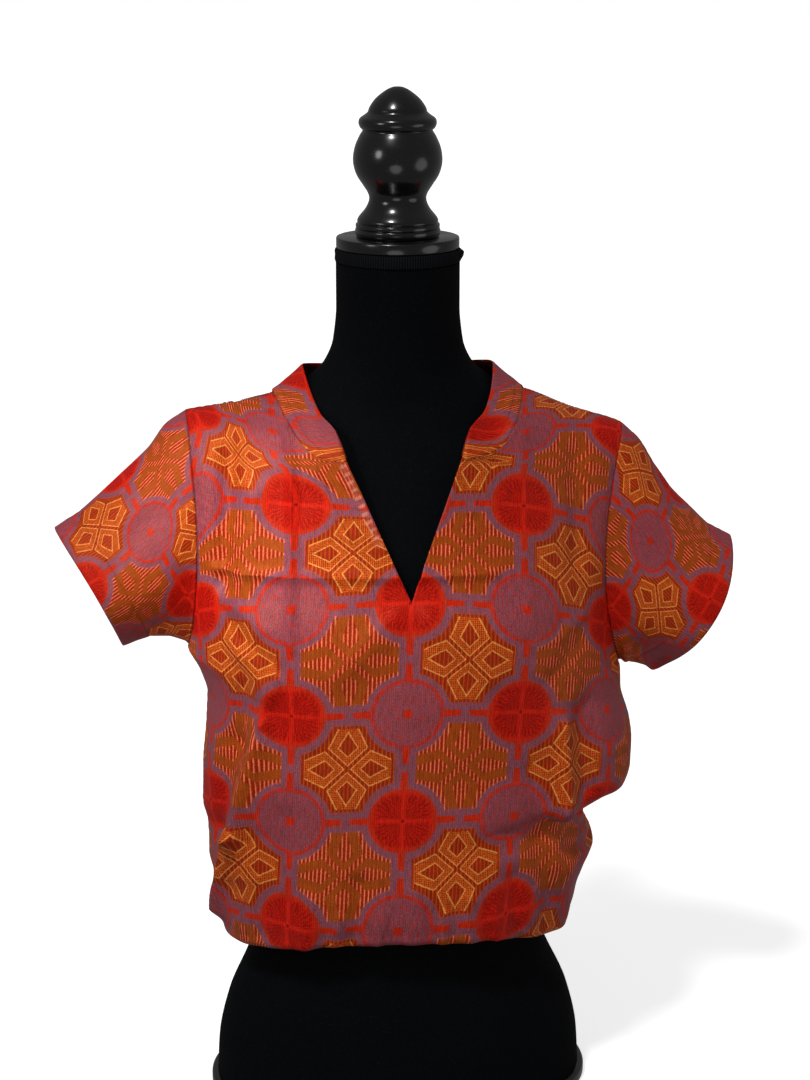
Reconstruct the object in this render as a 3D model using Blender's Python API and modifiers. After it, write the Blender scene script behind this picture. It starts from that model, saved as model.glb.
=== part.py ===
"""A short-sleeved V-neck blouse with a stand collar, worn by a limbless tabletop dress form.

The blouse is a 1.5 mm cloth wall: a front, a back, two set-in sleeves and a collar band, which
meet at their seams with a hair of clearance. Its front faces -Y. The dress form is a padded
torso on a thin board, with a turned finial on its neck. Sizes in the tables are millimetres.
"""
import bpy
import bmesh
import numpy as np
from mathutils import Vector
from math import cos, pi, radians, sin

MM = 0.001
CLOTH_WALL = 1.5
COLLAR_WALL = 1.8
SEAM_GAP = 0.3
PIECE_GAP = 0.3

HALF_COLUMNS = 10
BACK_NECK_COLUMNS = 4
ROWS_TO_V_TIP = 4
ROWS_ALONG_V = 5
ROWS_ALONG_NECK = 4
SLEEVE_RINGS = 7
COLLAR_ROWS = 3
MITRE_LIMIT = 1.5
SMOOTH_ANGLE = radians(50)

# Body sections below the armholes: height, half width to each side seam, depth in front and behind,
# and how square the section is (2 is an ellipse). The right side balloons out above a tucked fold.
BODY = [
    # z, left, right, front, back, square
    (163, 156, 149, 113, 107, 2.4),
    (178, 160, 154, 116, 108, 2.4),
    (195, 162, 157, 117, 107, 2.4),
    (212, 163, 164, 118, 106, 2.4),
    (227, 166, 171, 118, 106, 2.4),
    (240, 166, 168, 118, 105, 2.4),
    (253, 166, 160, 117, 105, 2.4),
    (263, 168, 162, 117, 104, 2.4),
    (272, 170, 183, 117, 104, 2.4),
    (284, 170, 199, 117, 104, 2.4),
    (302, 170, 203, 117, 104, 2.4),
    (323, 168, 203, 117, 103, 2.4),
    (344, 166, 201, 118, 103, 2.3),
    (364, 164, 197, 118, 103, 2.3),
    (384, 170, 193, 118, 103, 2.25),
    (402, 181, 192, 117, 103, 2.2),
]
# The section that the columns of cloth are spread evenly on: half width, depth and squareness.
EVEN_HALF = 172
EVEN_DEPTH = {-1: 117, 1: 104}
EVEN_SQUARE = 2.4
EVEN_STEPS = 400
ARMPIT_Z = {-1: 414, 1: 387}
FRONT_HEM_LIFT = 22
FRONT_HEM_LIFT_TOP = 245
ARMPIT_SLANT_FROM = 310
# The tucked fold rises towards the front and sinks towards the back: its height, reach and tilt.
TUCK_Z = 258
TUCK_REACH = 34
TUCK_TILT = 13

# The cloth blouses over at the bottom and turns under: degrees round the roll, then a flat hem.
ROLL_RADIUS = 10
ROLL_DEGREES = (150, 105, 65, 30)
HEM_TURN = 2

# Front and back centre lines above the armholes: height and depth.
FRONT_CENTRE = [(402, 117), (430, 114), (455, 110), (476, 105)]
BACK_CENTRE = [(402, 103), (450, 104), (500, 101), (550, 92), (590, 77), (616, 66)]

# The armhole of each side: top at the shoulder tip, bottom at the armpit, and x half way up.
ARMHOLE = {
    -1: dict(top=(177, 618), bottom=(BODY[-1][1], ARMPIT_Z[-1]), middle_x=171),
    1: dict(top=(190, 600), bottom=(BODY[-1][2], ARMPIT_Z[1]), middle_x=170),
}
ARMHOLE_FRONT = 50
ARMHOLE_BACK = 48
# Where the rows of the yoke meet the armhole: row fraction and degrees down from the shoulder tip.
V_TIP_AT = 0.28
CORNER_AT = 0.68
ARMHOLE_ANGLE = [(0.0, 180), (V_TIP_AT, 113), (CORNER_AT, 59), (1.0, 0)]

# Neckline and collar: station (0 front corner, 1 shoulder seam, 2 centre back), then the seam
# and the collar's top edge as half width, y and z.
NECK = [
    # at, seam x, y, z, top x, y, z
    (0.00, 46.5, -87, 590, 55, -77, 613),
    (0.15, 61, -84, 590.5, 60, -71, 617),
    (0.40, 79, -75, 597, 67, -58, 621),
    (0.65, 91, -61, 611, 73, -42, 630),
    (0.85, 99, -37, 623, 78, -22, 642),
    (1.00, 105, 0, 632, 81, 0, 652),
    (1.25, 95, 32, 628, 75, 24, 649),
    (1.60, 58, 57, 620, 46, 45, 644),
    (2.00, 0, 66, 616, 0, 52, 641),
]
OPENING_SHIFT = -3.5
COLLAR_BULGE = -1
SHOULDER_SAG = 1
RISE_TANGENT = 215
SHOULDER_TANGENT = {-1: 170, 1: 340}
NECK_TANGENT_CUT = 0.55
SHOULDER_ARRIVAL = radians(22)
NECK_ARRIVAL = radians(55)

# The sleeves: hem top and bottom (x, z), depth of the hem, how far its middle bows outward and
# how pointed its pressed fold is.
SLEEVE = {
    -1: dict(top=(288, 521), bottom=(234, 416), depth=46, middle_y=-6, bow=-9, pointed=0.55),
    1: dict(top=(287, 498), bottom=(221, 378), depth=48, middle_y=-4, bow=12, pointed=0.5),
}
# Along each sleeve: fraction, drop of its top edge and lift of its underside.
SLEEVE_LINE = {
    -1: [(0.0, 0, 0), (0.15, 3, 5), (0.3, -4, 8), (0.5, -6, 8), (0.75, -6, 5), (1.0, 0, 0)],
    1: [(0.0, 0, 0), (0.15, 2, -1), (0.3, -7, 1), (0.5, -12, 2), (0.75, -11, 2), (1.0, 0, 0)],
}

# Folds on the front: ends as distance round from centre front and height, half width of the
# fold, and how far it stands out (minus is a trough). Minus distances are the wearer's right.
FRONT_FOLDS = [
    # from a, z, to a, z, width, height
    (-130, 355, -158, 265, 13, 5.0),
    (-158, 265, -196, 185, 12, 5.0),
    (-158, 345, -186, 262, 13, -4.5),
    (-112, 290, -132, 180, 11, -2.5),
    (128, 360, 134, 285, 10, 4.5),
    (134, 285, 172, 268, 9, 4.0),
    (154, 372, 158, 300, 12, -5.5),
    (150, 248, 196, 236, 9, -3.5),
    (112, 262, 128, 178, 11, -3.0),
    (150, 222, 160, 170, 11, 2.5),
    (-150, 590, -158, 486, 10, -4.0),
    (-128, 560, -136, 470, 11, 2.0),
    (150, 580, 150, 500, 11, -3.0),
    (-44, 235, -50, 160, 9, -2.5),
    (-86, 220, -92, 160, 9, 2.5),
    (88, 230, 96, 165, 9, -2.5),
    (50, 215, 52, 165, 9, 2.0),
    (4, 225, 2, 165, 12, 1.5),
    (-14, 462, -60, 418, 12, 2.0),
    (14, 462, 62, 414, 12, 2.0),
]
# Two broad rises where the cloth passes over the bust: distance round, height, width, rise.
BUST = [(-84, 438, 58, 9), (84, 434, 58, 9)]
BACK_FOLDS = [
    (-134, 350, -160, 200, 14, 4.5),
    (-172, 340, -190, 240, 12, -4.0),
    (-96, 300, -104, 165, 13, -3.5),
    (-58, 330, -52, 170, 15, 3.0),
    (-14, 270, -10, 162, 13, -3.0),
    (30, 310, 36, 165, 14, 3.0),
    (74, 280, 78, 165, 12, -3.0),
    (118, 345, 130, 200, 14, 4.5),
    (158, 350, 166, 270, 12, -4.5),
    (-140, 560, -122, 450, 13, 3.5),
    (142, 550, 120, 440, 13, 3.5),
    (-100, 480, -70, 390, 16, -2.5),
    (96, 470, 72, 385, 16, -2.5),
]
# Creases along the sleeves: degrees round from the top by way of the front, fraction from and
# to, half width in degrees, height.
SLEEVE_FOLDS = {
    -1: [(62, 0.0, 0.75, 13, -3.0), (100, 0.1, 1.0, 15, 3.0), (140, 0.0, 0.8, 13, -2.5),
         (250, 0.0, 0.8, 15, -3.0), (300, 0.1, 0.9, 15, 2.5)],
    1: [(48, 0.0, 0.6, 12, 4.0), (76, 0.0, 0.8, 13, -3.5), (112, 0.3, 1.0, 14, 3.5),
        (146, 0.2, 1.0, 12, -3.0), (250, 0.0, 0.8, 15, -3.0), (300, 0.1, 0.9, 15, 2.5)],
}

# How a sleeve crease fades: fraction of the sleeve that it takes to rise and to die away, and how
# much of it is left at its ends; all of them grow from the armhole seam at this rate.
CREASE_RISE, CREASE_RISE_LEFT = 0.2, 0.3
CREASE_FALL, CREASE_FALL_LEFT = 0.25, 0.4
CREASE_GROWTH = 3

# The padded torso: height, half width left and right, depth in front and behind.
FORM_TOP = 738
FORM_COLUMNS = 28
FORM_SQUARE = 2.15
FORM = [
    # z, left, right, front, back
    (12.3, 164, 164, 98, 106),
    (45, 162, 162, 98, 105),
    (85, 153, 153, 94, 98),
    (125, 136, 135, 87, 86),
    (160, 123, 120, 82, 77),
    (195, 117, 116, 81, 74),
    (228, 117, 117, 83, 75),
    (262, 122, 122, 86, 78),
    (302, 129, 129, 92, 83),
    (345, 136, 136, 100, 88),
    (385, 141, 141, 107, 91),
    (418, 145, 145, 109, 92),
    (452, 149, 149, 105, 91),
    (492, 154, 154, 97, 88),
    (532, 160, 160, 88, 81),
    (565, 163, 162, 79, 72),
    (585, 161, 157, 71, 60),
    (600, 147, 141, 64, 50),
    (611, 130, 124, 59, 45),
    (621, 108.5, 105.5, 56, 45),
    (630, 94, 93, 54, 47),
    (641, 78, 78, 53, 49),
    (654, 63, 63, 52, 49),
    (674, 54, 54, 51, 50),
    (702, 51, 51, 50, 50),
    (FORM_TOP, 51, 51, 50, 50),
]
BOARD_RIM = 4
BOARD_ROUND = (2, 3)


NECK_TRIM_TOP = 749
NECK_TRIM_RADIUS = 52
NECK_TRIM_ROUND = (1.5, 2)
DISC_TOP = 758.6
DISC_RADIUS = 50.7
DISC_ROUND = 1.2
TURNED_STEPS = 28
# The turned finial: radius and height above the disc, from its foot up.
FINIAL = [
    (34.0, 0.3), (34.9, 3.0), (34.9, 9.5), (32.6, 11.0), (32.9, 14.0), (31.0, 17.5),
    (26.5, 23.0), (23.6, 29.5), (24.2, 35.0), (28.5, 42.0), (33.6, 50.0), (36.2, 58.5),
    (36.3, 66.0), (34.6, 74.0), (31.0, 82.0), (28.6, 86.0), (30.4, 88.0), (31.8, 91.5),
    (31.2, 96.0), (27.6, 99.5), (24.0, 105.0), (17.5, 112.0), (9.0, 118.5), (4.0, 120.6),
]
FINIAL_HEIGHT = 121

CLOTH_COLOUR = (0.56, 0.13, 0.06, 1)
JERSEY_COLOUR = (0.008, 0.008, 0.011, 1)
LACQUER_COLOUR = (0.012, 0.012, 0.014, 1)


def clear_scene():
    for item in list(bpy.data.objects):
        bpy.data.objects.remove(item, do_unlink=True)


def material(name, colour, roughness, metallic=0.0):
    made = bpy.data.materials.new(name)
    made.use_nodes = True
    shader = made.node_tree.nodes["Principled BSDF"]
    shader.inputs["Base Color"].default_value = colour
    shader.inputs["Roughness"].default_value = roughness
    shader.inputs["Metallic"].default_value = metallic
    return made


def smooth(table, column, at):
    """Reads a column of a table at any key, along a curve that never overshoots its rows."""
    keys = np.array([row[0] for row in table], float)
    values = np.array([row[column] for row in table], float)
    secant = np.diff(values) / np.diff(keys)
    product = secant[:-1] * secant[1:]
    total = np.where(product > 0, secant[:-1] + secant[1:], 1)
    inner = np.where(product > 0, 2 * product / total, 0)
    slope = np.concatenate(([secant[0]], inner, [secant[-1]]))
    spot = int(np.clip(np.searchsorted(keys, at, side="right") - 1, 0, len(keys) - 2))
    step = keys[spot + 1] - keys[spot]
    t = (at - keys[spot]) / step
    return (
        values[spot] * (1 + 2 * t) * (1 - t) ** 2
        + slope[spot] * step * t * (1 - t) ** 2
        + values[spot + 1] * t * t * (3 - 2 * t)
        + slope[spot + 1] * step * t * t * (t - 1)
    )


def ease(t):
    t = min(max(t, 0.0), 1.0)
    return t * t * (3 - 2 * t)


def section_point(half, depth, square, angle):
    """A point of a quarter section, from its centre line (0) to its side (90 degrees)."""
    power = 2 / square
    return half * max(sin(angle), 0) ** power, depth * max(cos(angle), 0) ** power


def even_angles(count, face):
    """Angles that part a quarter of the body's section into equal lengths of cloth."""
    fine = np.linspace(0, pi / 2, EVEN_STEPS)
    points = np.array([section_point(EVEN_HALF, EVEN_DEPTH[face], EVEN_SQUARE, a) for a in fine])
    length = np.concatenate(([0], np.cumsum(np.hypot(*np.diff(points, axis=0).T))))
    return np.interp(np.linspace(0, length[-1], count + 1), length, fine)


def body_row(row_z, side, face, angles, inset=0.0, drop=0.0):
    """One section of the body below the armholes, from its centre line to its side seam."""
    half = smooth(BODY, 1 if side < 0 else 2, row_z) - inset
    depth = smooth(BODY, 3 if face < 0 else 4, row_z) - inset
    square = smooth(BODY, 5, row_z)
    slant = ease((row_z - ARMPIT_SLANT_FROM) / (BODY[-1][0] - ARMPIT_SLANT_FROM))
    lift = 1 - ease((row_z - BODY[0][0]) / (FRONT_HEM_LIFT_TOP - BODY[0][0]))
    tilt = TUCK_TILT * np.exp(-((row_z - TUCK_Z) / TUCK_REACH) ** 2)
    points = []
    for angle in angles:
        x, y = section_point(half, depth, square, angle)
        z = row_z - drop + (ARMPIT_Z[side] - BODY[-1][0]) * slant * sin(angle) ** 2
        z -= face * tilt * sin(2 * angle)
        if face < 0:
            z += FRONT_HEM_LIFT * lift * cos(angle) ** 2
        points.append((side * x, face * y, z))
    return np.array(points)


def armhole_point(side, face, degrees):
    """A point of the armhole: 0 degrees at the shoulder tip, 180 at the armpit."""
    hole = ARMHOLE[side]
    (top_x, top_z), (low_x, low_z) = hole["top"], hole["bottom"]
    turn = radians(degrees)
    height = (1 + cos(turn)) / 2
    straight = low_x + (top_x - low_x) * height
    x = hole["middle_x"] + (straight - hole["middle_x"]) * cos(turn) ** 2
    reach = ARMHOLE_FRONT if face < 0 else ARMHOLE_BACK
    return np.array((side * x, face * reach * sin(turn), low_z + (top_z - low_z) * height))


def neck_point(side, at, top=False):
    """A point of the neck seam, or of the collar's top edge above it."""
    first = 4 if top else 1
    x, y, z = (smooth(NECK, first + k, at) for k in range(3))
    return np.array((side * x + OPENING_SHIFT * max(0.0, 1 - at) ** 1.5, y, z))


def shoulder_point(side, along):
    """A point of the shoulder seam, from the neck (0) to the tip (1)."""
    start = neck_point(side, 1)
    end = armhole_point(side, -1, 0)
    point = start + (end - start) * along
    point[2] -= SHOULDER_SAG * 4 * along * (1 - along)
    return point


def front_inner(side, v):
    """The front's inner edge: centre front, then the V's edge, then the neck seam."""
    if v <= V_TIP_AT:
        z = BODY[-1][0] + (FRONT_CENTRE[-1][0] - BODY[-1][0]) * v / V_TIP_AT
        return np.array((0, -smooth(FRONT_CENTRE, 1, z), z))
    if v <= CORNER_AT:
        tip = np.array((0, -FRONT_CENTRE[-1][1], FRONT_CENTRE[-1][0]))
        share = (v - V_TIP_AT) / (CORNER_AT - V_TIP_AT)
        return tip + (neck_point(side, 0) - tip) * share
    return neck_point(side, (v - CORNER_AT) / (1 - CORNER_AT))


def back_inner(v):
    z = BACK_CENTRE[0][0] + (BACK_CENTRE[-1][0] - BACK_CENTRE[0][0]) * v
    return np.array((0, smooth(BACK_CENTRE, 1, z), z))


def yoke_levels():
    """How far up the yoke each of its rows lies, from the armpit (0) to the shoulder seam (1)."""
    counts = (ROWS_TO_V_TIP, ROWS_ALONG_V, ROWS_ALONG_NECK)
    knots = (0, V_TIP_AT, CORNER_AT, 1)
    return [
        knots[k] + (knots[k + 1] - knots[k]) * (i + 1) / counts[k]
        for k in range(3) for i in range(counts[k])
    ]


def yoke_foot(side, face, angles, degrees):
    """The armpit section cut short where the armhole has come round to, for a row to rise from."""
    reach = (ARMHOLE_FRONT if face < 0 else ARMHOLE_BACK) * sin(radians(max(degrees, 90)))
    if degrees < 90:
        reach = ARMHOLE_FRONT if face < 0 else ARMHOLE_BACK
    depth = BODY[-1][3 if face < 0 else 4]
    limit = np.arccos((reach / depth) ** (BODY[-1][5] / 2))
    return body_row(BODY[-1][0], side, face, angles * limit / (pi / 2))


def yoke_rows(side, face, angles, top, inner):
    """The rows from the armpits to the shoulder: curves that rise from the last body section and
    roll over to the shoulder seam, drawn out to the inner edge and to the armhole."""
    share = np.linspace(0, 1, len(angles))[:, None]
    top = np.array(top)
    neck_share = BACK_NECK_COLUMNS / (HALF_COLUMNS + BACK_NECK_COLUMNS)
    at_neck = np.clip(1 - share / neck_share, 0, 1) * (face > 0)
    arrival = SHOULDER_ARRIVAL + (NECK_ARRIVAL - SHOULDER_ARRIVAL) * at_neck
    reach = SHOULDER_TANGENT[face] * (1 - NECK_TANGENT_CUT * at_neck)
    start = np.array((0, 0, RISE_TANGENT))
    end = np.hstack((0 * arrival, -face * np.cos(arrival), np.sin(arrival))) * reach
    rows = []
    for v in yoke_levels():
        degrees = smooth(ARMHOLE_ANGLE, 1, v)
        rise = (
            yoke_foot(side, face, angles, degrees) * (1 + 2 * v) * (1 - v) ** 2
            + start * v * (1 - v) ** 2
            + top * v * v * (3 - 2 * v)
            + end * v * v * (v - 1)
        )
        inner_gap = inner(v) - rise[0]
        armhole_gap = armhole_point(side, face, degrees) - rise[-1]
        rows.append(rise + inner_gap * (1 - share) + armhole_gap * share ** 2)
    return rows


def panel_half(side, face):
    """Half of the front or back, as rows of points from the turned hem up to the shoulder."""
    columns = HALF_COLUMNS + (BACK_NECK_COLUMNS if face > 0 else 0)
    angles = even_angles(columns, face)
    first = BODY[0][0]
    last_turn = radians(ROLL_DEGREES[0])
    inset = ROLL_RADIUS * (1 - cos(last_turn)) + HEM_TURN
    rows = [body_row(first, side, face, angles, inset, ROLL_RADIUS * sin(last_turn))]
    for degrees in ROLL_DEGREES:
        turn = radians(degrees)
        inset, drop = ROLL_RADIUS * (1 - cos(turn)), ROLL_RADIUS * sin(turn)
        rows.append(body_row(first, side, face, angles, inset, drop))
    rows += [body_row(row[0], side, face, angles) for row in BODY]
    if face < 0:
        top = [shoulder_point(side, j / columns) for j in range(columns + 1)]
        rows += yoke_rows(side, face, angles, top, lambda v: front_inner(side, v))
    else:
        top = [neck_point(side, 2 - j / BACK_NECK_COLUMNS) for j in range(BACK_NECK_COLUMNS)]
        top += [shoulder_point(side, j / HALF_COLUMNS) for j in range(HALF_COLUMNS + 1)]
        rows += yoke_rows(side, face, angles, top, back_inner)
    return np.array(rows)


def armhole_degrees():
    """The degrees round the armhole of every row that meets it, all the way round."""
    front = [smooth(ARMHOLE_ANGLE, 1, v) for v in reversed([0.0] + yoke_levels())]
    return front + [360 - d for d in reversed(front[1:-1])]


def sleeve_grid(side):
    """A sleeve as rings from the armhole to its hem; each ring starts at the top fold."""
    hem = SLEEVE[side]
    top = np.array((side * hem["top"][0], 0, hem["top"][1]))
    low = np.array((side * hem["bottom"][0], 0, hem["bottom"][1]))
    rings = []
    for k in range(SLEEVE_RINGS + 1):
        t = k / SLEEVE_RINGS
        ring = []
        for degrees in armhole_degrees():
            face = -1 if degrees <= 180 else 1
            turn = radians(degrees)
            start = armhole_point(side, face, min(degrees, 360 - degrees))
            across = abs(sin(turn))
            reach = hem["depth"] * (hem["pointed"] * across ** 2 + (1 - hem["pointed"]) * across)
            end = (top + low) / 2 + (top - low) / 2 * cos(turn)
            end = end + np.array((side * hem["bow"] * across ** 2, face * reach + hem["middle_y"], 0))
            point = start + (end - start) * t
            above = max(cos(turn), 0)
            below = max(-cos(turn), 0)
            point[2] += smooth(SLEEVE_LINE[side], 1, t) * above ** 2
            point[2] += smooth(SLEEVE_LINE[side], 2, t) * below ** 2
            fold = 0.0
            for around, start_t, end_t, width, height in SLEEVE_FOLDS[side]:
                rise = ease((t - start_t) / CREASE_RISE + CREASE_RISE_LEFT * (t > 0))
                fall = ease((end_t - t) / CREASE_FALL + CREASE_FALL_LEFT)
                fold += height * rise * fall * np.exp(-((degrees - around) / width) ** 2)
            outward = np.array((0, face * across, cos(turn)))
            ring.append(point + outward * fold * min(1.0, CREASE_GROWTH * t))
        ring.append(ring[0])
        rings.append(np.array(ring))
    return np.array(rings)


def collar_grid():
    """The collar band: stations from the left front corner round the back, rows seam to top."""
    left = [(-1, i / ROWS_ALONG_NECK) for i in range(ROWS_ALONG_NECK + 1)]
    left += [(-1, 1 + i / BACK_NECK_COLUMNS) for i in range(1, BACK_NECK_COLUMNS + 1)]
    stations = left + [(1, at) for _, at in reversed(left[:-1])]
    rows = []
    for k in range(COLLAR_ROWS + 1):
        share = k / COLLAR_ROWS
        row = []
        for side, at in stations:
            seam, top = neck_point(side, at), neck_point(side, at, top=True)
            point = seam + (top - seam) * share
            flat = np.array((seam[0], seam[1], 0))
            bulge = COLLAR_BULGE * 4 * share * (1 - share)
            row.append(point + flat / np.linalg.norm(flat) * bulge)
        rows.append(row)
    return np.array(rows)


def fold_height(around, z, folds, bumps=()):
    """How far the folds lift the cloth at a distance round from the centre line and a height."""
    total = 0.0
    spot = np.array((around, z))
    for a0, z0, a1, z1, width, height in folds:
        start, end = np.array((a0, z0)), np.array((a1, z1))
        run = end - start
        share = float(np.clip(np.dot(spot - start, run) / np.dot(run, run), 0, 1))
        away = np.linalg.norm(spot - start - run * share)
        total += height * np.exp(-(away / width) ** 2)
    for a, middle, width, height in bumps:
        total += height * np.exp(-((around - a) ** 2 + (z - middle) ** 2) / width ** 2)
    return total


def cloth_pieces():
    """Every cloth piece as grids of base points, with the fold height of each point."""
    pieces = {}
    for name, face, folds, bumps in (
        ("front", -1, FRONT_FOLDS, BUST), ("back", 1, BACK_FOLDS, ()),
    ):
        grids = []
        for side in (-1, 1):
            points = panel_half(side, face)
            lift = np.zeros(points.shape[:2])
            for i, row in enumerate(points):
                around = abs(row[0][0])
                for j, point in enumerate(row):
                    if j:
                        around += np.linalg.norm(point - row[j - 1])
                    if i > len(ROLL_DEGREES) // 2:
                        lift[i, j] = fold_height(side * around, point[2], folds, bumps)
            grids.append((points, lift, side * face < 0))
        pieces[name] = grids
    for name, side in (("sleeve_left", -1), ("sleeve_right", 1)):
        points = sleeve_grid(side)
        pieces[name] = [(points, np.zeros(points.shape[:2]), side > 0)]
    points = collar_grid()
    pieces["collar"] = [(points, np.zeros(points.shape[:2]), False)]
    return pieces


def weld(pieces):
    """Joins all the pieces at their seams into one surface, so that they share their corners."""
    numbers, spots, lifts, faces = {}, [], [], {}
    for name, grids in pieces.items():
        faces[name] = []
        for points, lift, flip in grids:
            index = np.zeros(points.shape[:2], int)
            for i, row in enumerate(points):
                for j, point in enumerate(row):
                    key = tuple(int(round(c * 1000)) for c in point)
                    if key not in numbers:
                        numbers[key] = len(spots)
                        spots.append(point)
                        lifts.append(0.0)
                    index[i, j] = numbers[key]
                    if abs(lift[i, j]) > abs(lifts[index[i, j]]):
                        lifts[index[i, j]] = lift[i, j]
            for i in range(points.shape[0] - 1):
                for j in range(points.shape[1] - 1):
                    quad = [index[i, j], index[i, j + 1], index[i + 1, j + 1], index[i + 1, j]]
                    faces[name].append(quad[::-1] if flip else quad)
    return np.array(spots), np.array(lifts), faces


def surface_normals(spots, faces):
    """The outward normal of each corner and how much longer a mitred wall is there."""
    surface = bmesh.new()
    corners = [surface.verts.new(p * MM) for p in spots]
    for quads in faces.values():
        for quad in quads:
            surface.faces.new([corners[k] for k in quad])
    surface.normal_update()
    normals = np.array([c.normal[:] for c in corners])
    mitres = np.array([min(c.calc_shell_factor(), MITRE_LIMIT) for c in corners])
    surface.free()
    return normals, mitres


def seam_shift(spots, normals, quads, shared_edges):
    """Draws a piece back from its seams by half the seam gap, along its own surface."""
    inward = {}
    for quad in quads:
        middle = spots[quad].mean(axis=0)
        for k in range(4):
            a, b = quad[k], quad[(k + 1) % 4]
            if frozenset((a, b)) not in shared_edges:
                continue
            along = (spots[b] - spots[a]) / np.linalg.norm(spots[b] - spots[a])
            for corner in (a, b):
                away = middle - spots[corner]
                away = away - along * np.dot(away, along)
                away = away - normals[corner] * np.dot(away, normals[corner])
                inward.setdefault(corner, []).append(away / np.linalg.norm(away))
    shift = {}
    for corner, directions in inward.items():
        total = sum(directions[:2])
        room = 1 + np.dot(directions[0], directions[1]) if len(directions) > 1 else 1
        shift[corner] = total * SEAM_GAP / 2 / max(room, 0.5)
    return shift


def cloth_solid(name, spots, normals, mitres, quads, shared_edges, wall):
    """A piece of cloth as a closed wall: outer face, inner face and the edges between them."""
    shift = seam_shift(spots, normals, quads, shared_edges)
    mesh = bmesh.new()
    outer, inner = {}, {}
    for corner in sorted({k for quad in quads for k in quad}):
        point = spots[corner] + shift.get(corner, 0)
        outer[corner] = mesh.verts.new(point * MM)
        inner[corner] = mesh.verts.new((point - normals[corner] * mitres[corner] * wall) * MM)
    used = {}
    for quad in quads:
        for k in range(4):
            used.setdefault(frozenset((quad[k], quad[(k + 1) % 4])), []).append(quad)
    for quad in quads:
        mesh.faces.new([outer[k] for k in quad])
        mesh.faces.new([inner[k] for k in reversed(quad)])
        for k in range(4):
            a, b = quad[k], quad[(k + 1) % 4]
            if len(used[frozenset((a, b))]) > 1:
                continue
            if a < b:
                mesh.faces.new((outer[b], outer[a], inner[b]))
                mesh.faces.new((outer[a], inner[a], inner[b]))
            else:
                mesh.faces.new((outer[b], outer[a], inner[a]))
                mesh.faces.new((outer[b], inner[a], inner[b]))
    return finish_mesh(name, mesh)


def finish_mesh(name, mesh):
    data = bpy.data.meshes.new(name)
    bmesh.ops.triangulate(mesh, faces=mesh.faces[:])
    mesh.to_mesh(data)
    mesh.free()
    data.shade_smooth()
    data.set_sharp_from_angle(angle=SMOOTH_ANGLE)
    return bpy.data.objects.new(name, data)


def build_cloth():
    """The blouse: all pieces are drawn as one welded surface, then cut apart at the seams."""
    spots, lifts, faces = weld(cloth_pieces())
    normals, _ = surface_normals(spots, faces)
    spots = spots + normals * lifts[:, None]
    normals, mitres = surface_normals(spots, faces)
    owners = {}
    for name, quads in faces.items():
        for quad in quads:
            for k in range(4):
                owners.setdefault(frozenset((quad[k], quad[(k + 1) % 4])), set()).add(name)
    shared_edges = {edge for edge, names in owners.items() if len(names) > 1}
    walls = {"collar": COLLAR_WALL}
    return [
        cloth_solid(name, spots, normals, mitres, quads, shared_edges, walls.get(name, CLOTH_WALL))
        for name, quads in faces.items()
    ]


def form_ring(left, right, front, back):
    """A closed ring round the dress form, starting at its back and seen counter-clockwise."""
    power = 2 / FORM_SQUARE
    points = []
    for k in range(FORM_COLUMNS):
        turn = 2 * pi * k / FORM_COLUMNS
        across, along = -sin(turn), cos(turn)
        half = left if across < 0 else right
        depth = front if along < 0 else back
        x = half * np.sign(across) * abs(across) ** power
        points.append((x, depth * np.sign(along) * abs(along) ** power))
    return points


def loft(name, levels):
    """Skins closed rings at their heights and caps the first and the last."""
    mesh = bmesh.new()
    rings = [[mesh.verts.new(Vector((x, y, z)) * MM) for x, y in ring] for z, ring in levels]
    for low, high in zip(rings, rings[1:]):
        for k in range(len(low)):
            after = (k + 1) % len(low)
            mesh.faces.new((low[k], low[after], high[after], high[k]))
    mesh.faces.new(list(reversed(rings[0])))
    mesh.faces.new(rings[-1])
    return finish_mesh(name, mesh)


def build_torso():
    return loft("form_torso", [(row[0], form_ring(*row[1:])) for row in FORM])


def build_base():
    """The board under the torso, with a small rounded rim."""
    _, left, right, front, back = FORM[0]
    top = FORM[0][0] - PIECE_GAP
    inset, rise = BOARD_ROUND
    levels = []
    for z, grow in (
        (0, BOARD_RIM - inset), (rise, BOARD_RIM), (top - rise, BOARD_RIM), (top, BOARD_RIM - inset),
    ):
        levels.append((z, form_ring(left + grow, right + grow, front + grow, back + grow)))
    return loft("form_base", levels)


def turned(name, profile):
    """A turned piece: its profile (radius, height) from the foot up, swept by a Screw."""
    data = bpy.data.meshes.new(name)
    points = [(r * MM, 0, z * MM) for r, z in reversed(profile)]
    data.from_pydata(points, [(k, k + 1) for k in range(len(points) - 1)], [])
    piece = bpy.data.objects.new(name, data)
    screw = piece.modifiers.new("Turn", "SCREW")
    screw.axis = "Z"
    screw.steps = screw.render_steps = TURNED_STEPS
    screw.use_merge_vertices = True
    screw.merge_threshold = 0.00001
    return piece


def build_neck_trim():
    low, high, edge = FORM_TOP + PIECE_GAP, NECK_TRIM_TOP, NECK_TRIM_RADIUS
    inset, rise = NECK_TRIM_ROUND
    return turned("form_neck_trim", [
        (0, low), (edge - inset, low), (edge, low + rise),
        (edge, high - rise), (edge - inset, high), (0, high),
    ])


def build_disc():
    low, high, edge = NECK_TRIM_TOP + PIECE_GAP, DISC_TOP, DISC_RADIUS
    return turned("form_disc", [
        (0, low), (edge - DISC_ROUND, low), (edge, low + DISC_ROUND),
        (edge, high - DISC_ROUND), (edge - DISC_ROUND, high), (0, high),
    ])


def build_finial():
    profile = [(r, DISC_TOP + h) for r, h in FINIAL]
    foot = (0, DISC_TOP + FINIAL[0][1])
    return turned("form_finial", [foot] + profile + [(0, DISC_TOP + FINIAL_HEIGHT)])


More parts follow.
